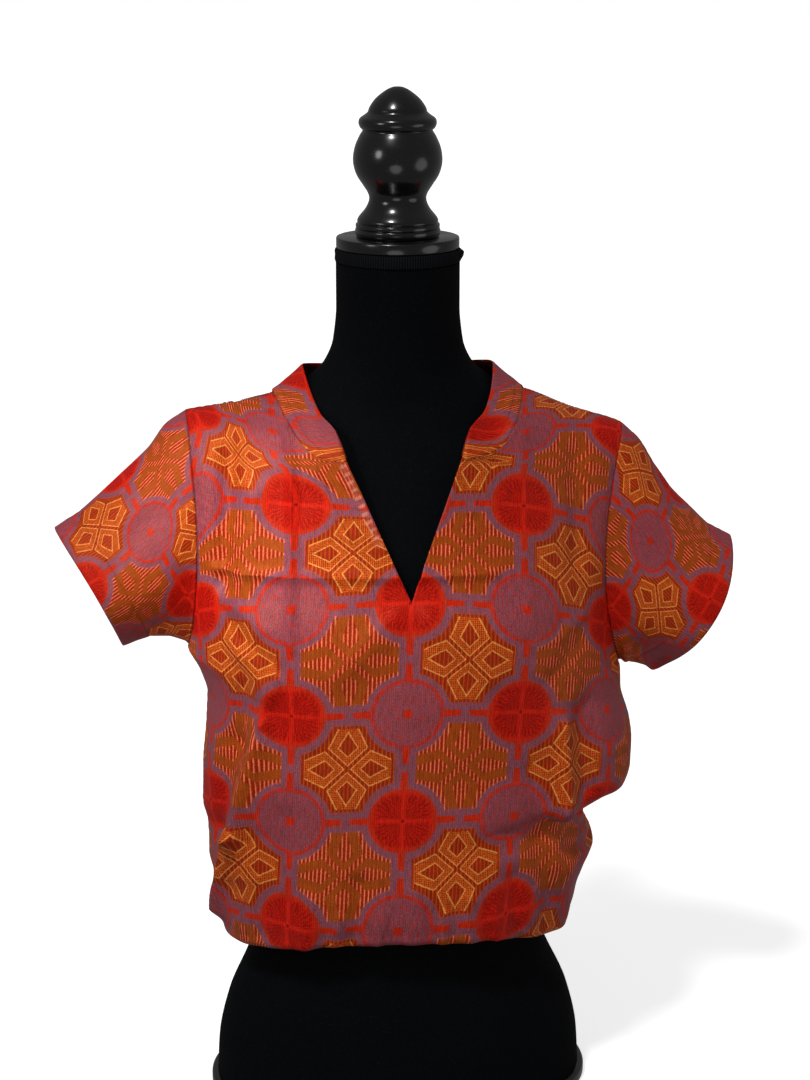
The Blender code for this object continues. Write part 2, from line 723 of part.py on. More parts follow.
def build():
    clear_scene()
    parts = bpy.data.collections.new("blouse on a dress form")
    bpy.context.scene.collection.children.link(parts)
    for piece in build_cloth():
        piece.data.materials.append(material(piece.name + " brocade", CLOTH_COLOUR, 0.45))
        parts.objects.link(piece)
    for piece in (build_torso(), build_neck_trim()):
        piece.data.materials.append(material(piece.name + " jersey", JERSEY_COLOUR, 0.85))
        parts.objects.link(piece)
    for piece in (build_base(), build_disc(), build_finial()):
        piece.data.materials.append(material(piece.name + " lacquer", LACQUER_COLOUR, 0.25))
        parts.objects.link(piece)


build()
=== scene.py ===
import bmesh
import bpy
import numpy as np
from math import atan2, cos, degrees, exp, hypot, pi, radians, sin
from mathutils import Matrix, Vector


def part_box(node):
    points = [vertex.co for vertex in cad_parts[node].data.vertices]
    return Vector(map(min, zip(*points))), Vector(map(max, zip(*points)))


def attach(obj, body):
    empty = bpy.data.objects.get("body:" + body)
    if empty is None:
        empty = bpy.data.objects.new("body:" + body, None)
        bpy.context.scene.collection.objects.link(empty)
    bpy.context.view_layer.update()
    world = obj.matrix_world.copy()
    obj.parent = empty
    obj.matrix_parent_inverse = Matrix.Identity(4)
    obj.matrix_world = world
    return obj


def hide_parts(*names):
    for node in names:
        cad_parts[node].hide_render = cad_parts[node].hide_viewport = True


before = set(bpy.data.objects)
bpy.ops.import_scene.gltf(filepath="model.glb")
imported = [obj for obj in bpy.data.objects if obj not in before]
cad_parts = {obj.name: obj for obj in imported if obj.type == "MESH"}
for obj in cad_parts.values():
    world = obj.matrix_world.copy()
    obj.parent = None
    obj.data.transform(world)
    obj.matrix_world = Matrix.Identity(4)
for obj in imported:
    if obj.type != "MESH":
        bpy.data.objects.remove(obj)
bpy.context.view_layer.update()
mm = 0.001
print("frame loaded:", len(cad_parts), "nodes")

photoView = {
    "azimuth": -6.0,  # degrees round from straight in front
    "distance": 1.9,
    "height": 1.02,
    "aimHeight": 0.5,
    "side": 0.00595,  # metres, so that the form stands where the photograph has it
    "focalPixels": 2317.5,
    "framePixels": 1080,
    "sensor": 36.0,
}


def addCamera():
    v = photoView
    turn = radians(v["azimuth"])
    towards = Vector((sin(turn), -cos(turn), 0))
    right = Vector((cos(turn), sin(turn), 0))
    camera = bpy.data.objects.new("camera", bpy.data.cameras.new("camera"))
    camera.location = towards * v["distance"] + right * v["side"] + Vector((0, 0, v["height"]))
    aim = right * v["side"] + Vector((0, 0, v["aimHeight"]))
    camera.rotation_euler = (aim - camera.location).to_track_quat("-Z", "Y").to_euler()
    camera.data.sensor_fit = "VERTICAL"
    camera.data.sensor_height = v["sensor"]
    camera.data.lens = v["focalPixels"] / v["framePixels"] * v["sensor"]
    bpy.context.scene.collection.objects.link(camera)
    bpy.context.scene.camera = camera


addCamera()


def readTable(table, column, at):
    # a column of a table at any key, along a curve that never overshoots its rows
    keys = np.array([row[0] for row in table], float)
    values = np.array([row[column] for row in table], float)
    secant = np.diff(values) / np.diff(keys)
    product = secant[:-1] * secant[1:]
    total = np.where(product > 0, secant[:-1] + secant[1:], 1)
    slope = np.concatenate(([secant[0]], np.where(product > 0, 2 * product / total, 0), [secant[-1]]))
    at = np.asarray(at, float)
    spot = np.clip(np.searchsorted(keys, at, side="right") - 1, 0, len(keys) - 2)
    step = keys[spot + 1] - keys[spot]
    t = (at - keys[spot]) / step
    return (
        values[spot] * (1 + 2 * t) * (1 - t) ** 2
        + slope[spot] * step * t * (1 - t) ** 2
        + values[spot + 1] * t * t * (3 - 2 * t)
        + slope[spot + 1] * step * t * t * (t - 1)
    )


def ease(t):
    t = np.clip(t, 0.0, 1.0)
    return t * t * (3 - 2 * t)


def lengthAlong(points, axis):
    # distance in millimetres along the rows (axis 1) or columns (axis 0) of a grid of points
    steps = np.linalg.norm(np.diff(points, axis=axis), axis=2)
    return np.concatenate((np.zeros_like(np.take(steps, [0], axis)), np.cumsum(steps, axis)), axis)


bodyCut = {  # the blouse below its armholes
    # height, half width left and right, depth front and back, how square
    "sections": [
        (163, 156, 149, 113, 107, 2.4),
        (178, 160, 154, 116, 108, 2.4),
        (195, 162, 157, 117, 107, 2.4),
        (212, 163, 164, 118, 106, 2.4),
        (227, 166, 171, 118, 106, 2.4),
        (240, 166, 168, 118, 105, 2.4),
        (253, 166, 160, 117, 105, 2.4),
        (263, 168, 162, 117, 104, 2.4),
        (272, 170, 183, 117, 104, 2.4),
        (284, 170, 199, 117, 104, 2.4),
        (302, 170, 203, 117, 104, 2.4),
        (323, 168, 203, 117, 103, 2.4),
        (344, 166, 201, 118, 103, 2.3),
        (364, 164, 197, 118, 103, 2.3),
        (384, 170, 193, 118, 103, 2.25),
        (402, 181, 192, 117, 103, 2.2),
    ],
    "rows": 92,  # from the hem roll to the armpits
    "armpitZ": {-1: 414, 1: 387},
    "armpitSlantFrom": 310,
    "frontHemLift": 22,
    "frontHemLiftTop": 245,
    "tuckZ": 258,  # the tucked fold on the right, and how it tilts
    "tuckReach": 34,
    "tuckTilt": 13,
    "rollRadius": 10,  # the bloused hem rolls under
    "rollDegrees": 150,
    "rollRows": 16,
    "hemTurn": 2,
    "evenHalf": 172,  # the section that the columns are spread evenly on
    "evenDepth": {-1: 117, 1: 104},
    "evenSquare": 2.4,
}

yokeCut = {  # from the armholes to the shoulders; 1 is the right side of the photograph
    "frontCentre": [(402, 117), (430, 114), (455, 110), (476, 105)],
    "backCentre": [(402, 103), (450, 104), (500, 101), (550, 92), (590, 77), (616, 66)],
    "armhole": {
        -1: {"top": (177, 618), "bottom": (181, 414), "middleX": 171},
        1: {"top": (190, 600), "bottom": (192, 387), "middleX": 170},
    },
    "armholeReach": {-1: 50, 1: 48},
    "vTipAt": 0.28,
    "cornerAt": 0.68,
    "armholeAngle": [(0.0, 180), (0.28, 113), (0.68, 59), (1.0, 0)],
    "rowsToTip": 30,
    "rowsAlongV": 48,
    "rowsAlongNeck": 20,
    "shoulderColumns": 80,
    "backNeckColumns": 32,
    "openingShift": -3.5,
    "collarBulge": -1,
    "shoulderSag": 1,
    "riseTangent": 215,
    "shoulderTangent": {-1: 170, 1: 340},
    "neckTangentCut": 0.55,
    "shoulderArrival": 22,
    "neckArrival": 55,
    # station, neck seam half width, y, z, collar top half width, y, z
    "neck": [
        (0.00, 46.5, -87, 590, 55, -77, 613),
        (0.15, 61, -84, 590.5, 60, -71, 617),
        (0.40, 79, -75, 597, 67, -58, 621),
        (0.65, 91, -61, 611, 73, -42, 630),
        (0.85, 99, -37, 623, 78, -22, 642),
        (1.00, 105, 0, 632, 81, 0, 652),
        (1.25, 95, 32, 628, 75, 24, 649),
        (1.60, 58, 57, 620, 46, 45, 644),
        (2.00, 0, 66, 616, 0, 52, 641),
    ],
}


def evenAngles(count, face):
    c = bodyCut
    fine = np.linspace(0, pi / 2, 600)
    power = 2 / c["evenSquare"]
    x = c["evenHalf"] * np.sin(fine) ** power
    y = c["evenDepth"][face] * np.maximum(np.cos(fine), 0) ** power
    length = np.concatenate(([0], np.cumsum(np.hypot(np.diff(x), np.diff(y)))))
    return np.interp(np.linspace(0, length[-1], count + 1), length, fine)


def bodyRows(z, side, face, angles, inset=0.0, drop=0.0):
    # sections of the body below the armholes, from the centre line to the side seam
    c = bodyCut
    sections, bottom, top = c["sections"], c["sections"][0][0], c["sections"][-1][0]
    z = np.asarray(z, float)[:, None]
    half = readTable(sections, 1 if side < 0 else 2, z) - inset
    depth = readTable(sections, 3 if face < 0 else 4, z) - inset
    power = 2 / readTable(sections, 5, z)
    slant = ease((z - c["armpitSlantFrom"]) / (top - c["armpitSlantFrom"]))
    lift = 1 - ease((z - bottom) / (c["frontHemLiftTop"] - bottom))
    tilt = c["tuckTilt"] * np.exp(-((z - c["tuckZ"]) / c["tuckReach"]) ** 2)
    across, along = np.maximum(np.sin(angles), 0), np.maximum(np.cos(angles), 0)
    height = z - drop + (c["armpitZ"][side] - top) * slant * across ** 2
    height = height - face * tilt * np.sin(2 * angles)
    if face < 0:
        height = height + c["frontHemLift"] * lift * along ** 2
    x, y, height = np.broadcast_arrays(
        side * half * across ** power, face * depth * along ** power, height)
    return np.stack((x, y, height), axis=-1)


def armholePoint(side, face, bearing):
    # 0 degrees is the shoulder tip and 180 the armpit
    hole = yokeCut["armhole"][side]
    (topX, topZ), (lowX, lowZ) = hole["top"], hole["bottom"]
    turn = np.radians(bearing)
    height = (1 + np.cos(turn)) / 2
    straight = lowX + (topX - lowX) * height
    x = hole["middleX"] + (straight - hole["middleX"]) * np.cos(turn) ** 2
    reach = np.where(np.asarray(face) < 0, yokeCut["armholeReach"][-1], yokeCut["armholeReach"][1])
    return np.stack((side * x, face * reach * np.sin(turn), lowZ + (topZ - lowZ) * height), axis=-1)


def neckPoint(side, at, top=False):
    first = 4 if top else 1
    at = np.asarray(at, float)
    x, y, z = (readTable(yokeCut["neck"], first + k, at) for k in range(3))
    shift = yokeCut["openingShift"] * np.maximum(0.0, 1 - at) ** 1.5
    return np.stack((side * x + shift, y, z), axis=-1)


def shoulderPoint(side, along):
    start, end = neckPoint(side, 1.0), armholePoint(side, -1, 0.0)
    along = np.asarray(along, float)[:, None]
    sag = np.array((0, 0, yokeCut["shoulderSag"] * 4)) * along * (1 - along)
    return start + (end - start) * along - sag


def frontInner(side, v):
    # the front's inner edge: centre front, then the V's edge, then the neck seam
    c = yokeCut
    low, tipZ, tipDepth = bodyCut["sections"][-1][0], *c["frontCentre"][-1]
    if v <= c["vTipAt"]:
        z = low + (tipZ - low) * v / c["vTipAt"]
        return np.array((0, -readTable(c["frontCentre"], 1, z), z))
    if v <= c["cornerAt"]:
        tip = np.array((0, -tipDepth, tipZ))
        return tip + (neckPoint(side, 0) - tip) * (v - c["vTipAt"]) / (c["cornerAt"] - c["vTipAt"])
    return neckPoint(side, (v - c["cornerAt"]) / (1 - c["cornerAt"]))


def backInner(side, v):
    line = yokeCut["backCentre"]
    z = line[0][0] + (line[-1][0] - line[0][0]) * v
    return np.array((0, readTable(line, 1, z), z))


def yokeLevels():
    c = yokeCut
    knots = (0, c["vTipAt"], c["cornerAt"], 1)
    counts = (c["rowsToTip"], c["rowsAlongV"], c["rowsAlongNeck"])
    return np.concatenate([np.linspace(knots[k], knots[k + 1], counts[k] + 1)[1:] for k in range(3)])


def yokeRows(side, face, angles, top):
    # rows that rise from the last body section and roll over to the shoulder seam
    c = yokeCut
    levels = yokeLevels()
    bearing = readTable(c["armholeAngle"], 1, levels)
    topSection = bodyCut["sections"][-1]
    reach = c["armholeReach"][face] * np.sin(np.radians(np.maximum(bearing, 90)))
    limit = np.arccos((reach / topSection[3 if face < 0 else 4]) ** (topSection[5] / 2))
    footAngles = angles[None, :] * (limit / (pi / 2))[:, None]
    foot = bodyRows(np.full(len(levels), topSection[0]), side, face, footAngles)
    share = np.linspace(0, 1, len(angles))[:, None]
    neckShare = c["backNeckColumns"] / (c["shoulderColumns"] + c["backNeckColumns"])
    atNeck = np.clip(1 - share / neckShare, 0, 1) * (face > 0)
    arrival = np.radians(c["shoulderArrival"] + (c["neckArrival"] - c["shoulderArrival"]) * atNeck)
    reachUp = c["shoulderTangent"][face] * (1 - c["neckTangentCut"] * atNeck)
    start = np.array((0, 0, c["riseTangent"]))
    end = np.hstack((0 * arrival, -face * np.cos(arrival), np.sin(arrival))) * reachUp
    v = levels[:, None, None]
    rise = (foot * (1 + 2 * v) * (1 - v) ** 2 + start * v * (1 - v) ** 2
            + top * v * v * (3 - 2 * v) + end * v * v * (v - 1))
    inner = np.array([(frontInner if face < 0 else backInner)(side, x) for x in levels])
    innerGap = inner - rise[:, 0]
    holeGap = armholePoint(side, face, bearing) - rise[:, -1]
    return rise + innerGap[:, None] * (1 - share) + holeGap[:, None] * share ** 2


def panelHalf(side, face):
    # half of the front or back, as rows of points from the turned hem up to the shoulder
    c, y = bodyCut, yokeCut
    shoulder, neck = y["shoulderColumns"], y["backNeckColumns"] if face > 0 else 0
    angles = evenAngles(shoulder + neck, face)
    radius, bottom = c["rollRadius"], c["sections"][0][0]
    turn = np.radians(np.linspace(c["rollDegrees"], 0, c["rollRows"] + 1)[:-1])[:, None]
    inset, drop = radius * (1 - np.cos(turn)), radius * np.sin(turn)
    inset, drop = np.vstack((inset[:1] + c["hemTurn"], inset)), np.vstack((drop[:1], drop))
    roll = bodyRows(np.full(len(inset), bottom), side, face, angles, inset, drop)
    body = bodyRows(np.linspace(bottom, c["sections"][-1][0], c["rows"] + 1), side, face, angles)
    along = np.arange(shoulder + 1) / shoulder
    top = shoulderPoint(side, along)
    if face > 0:
        top = np.vstack((neckPoint(side, 2 - np.arange(neck) / neck), top))
    return np.vstack((roll, body, yokeRows(side, face, angles, top)))


sleeveCut = {  # hem top and bottom (x, z), depth of the hem, its bow and its pressed fold
    -1: {"top": (288, 521), "bottom": (234, 416), "depth": 46, "middleY": -6, "bow": -9, "pointed": 0.55,
         # fraction along, lift of the top edge and of the underside
         "line": [(0.0, 0, 0), (0.15, 3, 5), (0.3, -4, 8), (0.5, -6, 8), (0.75, -6, 5), (1.0, 0, 0)],
         # degrees round from the top by way of the front, fraction from and to, width, height
         "folds": [(62, 0.0, 0.75, 13, -3.0), (100, 0.1, 1.0, 15, 3.0), (140, 0.0, 0.8, 13, -2.5),
                   (250, 0.0, 0.8, 15, -3.0), (300, 0.1, 0.9, 15, 2.5)]},
    1: {"top": (287, 498), "bottom": (221, 378), "depth": 48, "middleY": -4, "bow": 12, "pointed": 0.5,
        "line": [(0.0, 0, 0), (0.15, 2, -1), (0.3, -7, 1), (0.5, -12, 2), (0.75, -11, 2), (1.0, 0, 0)],
        "folds": [(48, 0.0, 0.6, 12, 4.0), (76, 0.0, 0.8, 13, -3.5), (112, 0.3, 1.0, 14, 3.5),
                  (146, 0.2, 1.0, 12, -3.0), (250, 0.0, 0.8, 15, -3.0), (300, 0.1, 0.9, 15, 2.5)]},
    "rings": 48,
    "hemDepth": 24,
    "hemRings": 6,
    "hemGap": 1.7,
}


def sleevePoints(side, bearing, t):
    # points of a sleeve at each fraction of its length (rows) and angle round (columns)
    c = sleeveCut[side]
    top = np.array((side * c["top"][0], 0, c["top"][1]))
    low = np.array((side * c["bottom"][0], 0, c["bottom"][1]))
    face = np.where(bearing <= 180, -1, 1)
    turn = np.radians(bearing)
    start = armholePoint(side, face, np.minimum(bearing, 360 - bearing))
    across, upright = np.abs(np.sin(turn)), np.cos(turn)
    reach = c["depth"] * (c["pointed"] * across ** 2 + (1 - c["pointed"]) * across)
    end = (top + low) / 2 + (top - low) / 2 * upright[:, None]
    end = end + np.stack((side * c["bow"] * across ** 2, face * reach + c["middleY"], 0 * turn), axis=-1)
    t = np.asarray(t, float)[:, None]
    points = start + (end - start) * t[:, :, None]
    points[:, :, 2] += readTable(c["line"], 1, t) * np.maximum(upright, 0) ** 2
    points[:, :, 2] += readTable(c["line"], 2, t) * np.maximum(-upright, 0) ** 2
    fold = np.zeros(points.shape[:2])
    for around, startT, endT, width, height in c["folds"]:
        fade = ease((t - startT) / 0.2 + 0.3) * ease((endT - t) / 0.25 + 0.4)
        fold += height * fade * np.exp(-((bearing - around) / width) ** 2)
    outward = np.stack((0 * turn, face * across, upright), axis=-1)
    return points + outward * (fold * np.minimum(1.0, 3 * t))[:, :, None]


def sleeveGrid(side):
    # rings from the armhole to the hem, then the turned hem on the inside
    c = sleeveCut
    front = readTable(yokeCut["armholeAngle"], 1, np.concatenate(([0.0], yokeLevels())))[::-1]
    bearing = np.concatenate((front, 360 - front[-2::-1]))
    rings = sleevePoints(side, bearing, np.linspace(0, 1, c["rings"] + 1))
    length = np.linalg.norm(rings[-1].mean(0) - rings[0].mean(0))
    back = c["hemDepth"] / length * np.linspace(0, 1, c["hemRings"] + 1)
    inside = sleevePoints(side, bearing, 1 - back)
    middle = inside[:, :-1].mean(axis=1, keepdims=True)
    inward = middle - inside
    inward /= np.linalg.norm(inward, axis=2, keepdims=True)
    ending = rings[-1] - rings[-2]
    ending /= np.linalg.norm(ending, axis=1, keepdims=True)
    edge = rings[-1] + ending * 0.5 + inward[0] * c["hemGap"] / 2
    return np.vstack((rings, edge[None], inside + inward * c["hemGap"])), bearing


def collarGrid():
    # the collar band, left front corner round the back to the right one, folded over at its top
    c = yokeCut
    front = np.arange(c["rowsAlongNeck"] + 1) / c["rowsAlongNeck"]
    back = 1 + np.arange(1, c["backNeckColumns"] + 1) / c["backNeckColumns"]
    stations = np.concatenate((front, back))
    rows = []
    turn = [(1.04, 0.7), (1.0, 1.6), (0.6, 1.8), (0.1, 1.8)]  # share of the height, and inset
    for share, inset in [(k / 9, 0.0) for k in range(10)] + turn:
        halves = []
        for side in (-1, 1):
            seam, top = neckPoint(side, stations), neckPoint(side, stations, top=True)
            flat = seam * (1, 1, 0)
            flat = flat / np.linalg.norm(flat, axis=1, keepdims=True)
            bulge = c["collarBulge"] * 4 * share * (1 - share) - inset
            halves.append(seam + (top - seam) * share + flat * bulge)
        rows.append(np.vstack((halves[0], halves[1][-2::-1])))
    return np.array(rows)


folds = {  # ends as distance round from the centre line and height, width, height of the fold
    "front": [
        (-130, 355, -158, 265, 13, 6.0),
        (-158, 265, -196, 185, 12, 6.0),
        (-158, 345, -186, 262, 13, -7.0),
        (-140, 408, -152, 350, 13, -5.0),
        (-112, 290, -132, 180, 12, -4.5),
        (128, 360, 134, 285, 10, 4.5),
        (134, 285, 172, 268, 9, 4.0),
        (154, 372, 158, 300, 12, -7.5),
        (150, 248, 196, 236, 9, -5.0),
        (112, 262, 128, 178, 11, -4.5),
        (150, 222, 160, 170, 11, 2.5),
        (-150, 590, -158, 486, 9, -7.0),
        (-128, 560, -136, 470, 10, 3.6),
        (150, 580, 150, 500, 11, -4.5),
        (-44, 235, -50, 160, 9, -4.0),
        (-86, 220, -92, 160, 9, 3.8),
        (88, 230, 96, 165, 9, -4.0),
        (50, 215, 52, 165, 9, 3.2),
        (4, 225, 2, 165, 12, 2.6),
        (-14, 462, -60, 418, 11, 3.2),
        (14, 462, 62, 414, 11, 3.0),
        # finer ones, which the CAD wall leaves out
        (-118, 452, 104, 452, 25, 3.0),
        (-8, 470, -34, 452, 4, 0.8),
        (8, 470, 40, 446, 4, 0.9),
        (6, 462, 22, 430, 4, -0.7),
        (-150, 470, -118, 452, 6, 2.0),
        (-152, 452, -112, 424, 7, -2.0),
        (-150, 436, -120, 400, 7, 2.4),
        (152, 452, 122, 436, 6, 1.9),
        (150, 430, 116, 404, 7, -1.9),
        (-132, 395, -150, 330, 6, 2.0),
        (-100, 330, -118, 262, 7, 1.8),
        (100, 330, 106, 268, 7, -1.9),
        (-24, 210, -30, 168, 4, 1.9),
        (-62, 205, -66, 164, 5, 2.0),
        (28, 208, 26, 166, 4, 1.8),
        (70, 205, 76, 166, 4, 1.9),
        (-108, 215, -118, 168, 5, -2.0),
        (112, 215, 118, 180, 4, 2.0),
        (-6, 200, -10, 166, 3, -0.8),
        (-70, 585, -96, 560, 6, 0.8),
        (90, 590, 118, 560, 7, 0.9),
    ],
    "frontBumps": [(-84, 438, 58, 9), (84, 434, 58, 9)],  # the bust: distance round, height, width, rise
    "back": [
        (-134, 350, -160, 200, 14, 4.5),
        (-172, 340, -190, 240, 12, -4.0),
        (-96, 300, -104, 165, 13, -3.5),
        (-58, 330, -52, 170, 15, 3.0),
        (-14, 270, -10, 162, 13, -3.0),
        (30, 310, 36, 165, 14, 3.0),
        (74, 280, 78, 165, 12, -3.0),
        (118, 345, 130, 200, 14, 4.5),
        (158, 350, 166, 270, 12, -4.5),
        (-140, 560, -122, 450, 13, 3.5),
        (142, 550, 120, 440, 13, 3.5),
        (-100, 480, -70, 390, 16, -2.5),
        (96, 470, 72, 385, 16, -2.5),
        (-30, 250, -32, 166, 5, 1.3),
        (12, 240, 14, 164, 5, 1.1),
        (52, 230, 56, 164, 5, -1.2),
        (-78, 240, -84, 166, 5, 1.1),
        (98, 235, 104, 166, 5, -1.0),
        (-120, 520, -84, 470, 6, 1.0),
        (124, 505, 88, 462, 6, 1.0),
        (-24, 596, 26, 598, 9, -1.2),
    ],
    # pressed folds from the packet: the cloth stands up to a sharp line and falls away on both sides
    "pressed": [
        (-96, 610, -96, 440, 8, 3.6),
        (-165, 497, 70, 496, 8, 4.2),
        (97, 604, 96, 452, 10, 1.2),
        (-111, 414, -124, 372, 9, 4.4),
        (-124, 372, -156, 268, 13, 6.2),
        (-156, 268, -194, 185, 13, 5.8),
        (131, 366, 135, 290, 9, 3.8),
    ],
    "pressedBack": [
        (-96, 600, -96, 300, 10, 0.8),
        (96, 600, 96, 300, 10, 0.8),
        (-150, 497, 150, 497, 9, 0.6),
    ],
    "wobble": 0.5,
    "seamDip": 1.1,
    "seamReach": 4.2,
    "puckerHeight": 0.35,
    "puckerReach": 13,
    "puckerStep": 9.0,
    "edgeRidge": (0.5, 4.5),  # the V's turned edge: height and width
    "edgePucker": {"height": 0.9, "step": 8.6, "inset": 5.5, "width": 4.6, "low": 520, "high": 592},
    "edgeSlant": 0.9,  # the rows meet the V's edge at a slant
    "underArmRows": 6,
    "rollClear": (0.35, 0.6),  # shares of the hem roll that stay smooth, and where folds grow
    "wobbleApart": 400,  # front and back differ
}


# where the sharp lines of the packet lie: height of the level one, distance round of the upright one
creases = {"level": 497.0, "plumb": -96.0, "halfWidth": 2.4, "depth": 0.9}
distances = ("lift", "seam", "edge", "level", "plumb")
farAway = 500.0


def foldHeight(around, z, rows, pressed=False):
    total = np.zeros(around.shape)
    for a0, z0, a1, z1, width, height in rows:
        run = np.array((a1 - a0, z1 - z0), float)
        share = np.clip(((around - a0) * run[0] + (z - z0) * run[1]) / (run @ run), 0, 1)
        away = np.hypot(around - a0 - run[0] * share, z - z0 - run[1] * share)
        if pressed:
            fade = ease((z - min(z0, z1)) / 30 + 1) * ease((max(z0, z1) - z) / 30 + 1)
            total += height * fade * np.maximum(0, 1 - away / width) ** 1.4
        else:
            total += height * np.exp(-(away / width) ** 2)
    return total


def bumpHeight(around, z, rows):
    return sum(h * np.exp(-((around - a) ** 2 + (z - m) ** 2) / w ** 2) for a, m, w, h in rows)


def wobble(a, b):
    # soft unevenness of hung cloth, the same each run
    return folds["wobble"] * (
        np.sin(a / 11 + 1.3 * np.sin(b / 37)) * np.sin(b / 23 + 0.8)
        + 0.6 * np.sin(a / 6.3 + b / 17 + 2.0) * np.sin(b / 41 + 1.1)
        + 0.5 * np.sin(b / 9.1 + 1.7 * np.sin(a / 29)))


def seamWork(toSeam, along):
    # the cloth dips into a sewn seam, and puckers a little beside it
    f = folds
    dip = -f["seamDip"] * np.exp(-(toSeam / f["seamReach"]) ** 2)
    ripple = np.sin(along * 2 * pi / f["puckerStep"] + 1.4 * np.sin(along / 31))
    return dip + f["puckerHeight"] * ripple * np.exp(-toSeam / f["puckerReach"]) * (1 - np.exp(-toSeam / 2))


clothPatterns = {  # the brocade's repeat, and where it falls on each piece
    "repeat": (94.5, 94.0),
    "front": (-1.0, 472.5),
    "frontDrift": 0.04,  # the grain leans a little
    "sideDrop": 24.0,  # and sinks towards the sides
    "bustRise": 7.0,  # and is pushed up over the bust
    "bustSpan": (170, 570),  # between these heights
    "shoulderPull": (21.0, -9.0, 560),  # and pulled aside by the left shoulder, above a height
    "back": (0.0, 472.5),
    "sleeveRepeat": (68.0, 73.0),  # the short sleeves' cloth is taken in by soft folds
    "sleeve": {-1: (-0.03, 1.0), 1: (-0.02, 1.02)},
    "collarRepeat": 80.8,
    "collar": (40.4, 33.0),
}


def panelFolds(side, face, around, girth, z, underArm):
    # the folds of one half, and those of the other face that run on round the side
    mine, theirs = ("front", "back") if face < 0 else ("back", "front")
    lift = foldHeight(side * around, z, folds[mine])
    lift += underArm * foldHeight(side * (girth - around), z, folds[theirs])
    if face < 0:
        lift += bumpHeight(side * around, z, folds["frontBumps"])
    lift += foldHeight(side * around, z, folds["pressed" if face < 0 else "pressedBack"], True)
    return lift


def turnEdge(side, inner, up, alongV):
    # the V's turned edge stands up a little, and puckers on the left
    rise, width = folds["edgeRidge"]
    lift = rise * np.exp(-(inner / width) ** 2) * alongV
    if side < 0:
        p = folds["edgePucker"]
        ripple = np.sin(up * 2 * pi / p["step"] + np.sin(up / 13))
        ripple = ripple * ease((up - p["low"]) / 20) * ease((p["high"] - up) / 14)
        lift += p["height"] * ripple * np.exp(-((inner - p["inset"]) / p["width"]) ** 2)
    return lift


def placePattern(side, face, around, up, depth):
    # where the brocade's repeat falls on one half
    c = clothPatterns
    startU, startV = c["front"] if face < 0 else c["back"]
    lean = c["frontDrift"] * (startV - up) * (face < 0)
    drop = c["sideDrop"] * (1 - np.abs(depth) / bodyCut["evenDepth"][-1])
    if face < 0:
        low, high = c["bustSpan"]
        drop -= (c["bustRise"] * ease((up - low) / 70) * ease((high - up) / 60)
                 * (0.35 + 0.65 * ease((side * around + 110) / 80)))
        if side < 0:
            near, far, start = c["shoulderPull"]
            pull = near + (far - near) * ease((around - 115) / 55)
            lean = lean + pull * ease((up - start) / 60)
    u = (side * around * (1 if face < 0 else -1) - startU + lean) / c["repeat"][0]
    return u, (up + drop - startV) / c["repeat"][1]


def buildPanels(face):
    # both halves of the front or back, with lift, pattern place and distances
    sets = []
    for side in (-1, 1):
        points, other = panelHalf(side, face), panelHalf(side, -face)
        around, otherRound = (np.abs(p[:, :1, 0]) + lengthAlong(p, 1) for p in (points, other))
        girth = around[:, -1:] + otherRound[:, -1:]
        height, z = lengthAlong(points, 0), points[:, :, 2]
        row, bodyRowCount = np.arange(len(points))[:, None], len(points) - len(yokeLevels())
        up = height - height[bodyRowCount - 1] + bodyCut["sections"][-1][0]
        underArm = ease((bodyRowCount - row) / folds["underArmRows"])
        lift = panelFolds(side, face, around, girth, z, underArm)
        clear, fade = folds["rollClear"]
        lift *= ease((row - bodyCut["rollRows"] * clear) / (bodyCut["rollRows"] * fade))
        lift += wobble(side * around + folds["wobbleApart"] * (face > 0), up)
        toSeam = np.minimum(around[:, -1:] - around, height[-1:] - height)
        lift += seamWork(toSeam, up + side * around)
        toEdge = np.full(points.shape[:2], farAway)
        if face < 0:
            yoke = bodyRowCount + yokeCut["rowsToTip"]
            last, inner = yoke + yokeCut["rowsAlongV"], around - around[:, :1]
            toEdge[yoke - 1:last] = inner[yoke - 1:last] * folds["edgeSlant"]
            lift += turnEdge(side, inner, up, (row >= yoke) & (row <= last))
        u, v = placePattern(side, face, around, up, points[:, :, 1])
        plumb = side * (around if face < 0 else girth - around) - creases["plumb"]
        sets.append({"points": points, "lift": lift, "u": u, "v": v, "seam": toSeam, "edge": toEdge,
                     "level": z - creases["level"], "plumb": plumb, "flip": side * face > 0})
    return sets


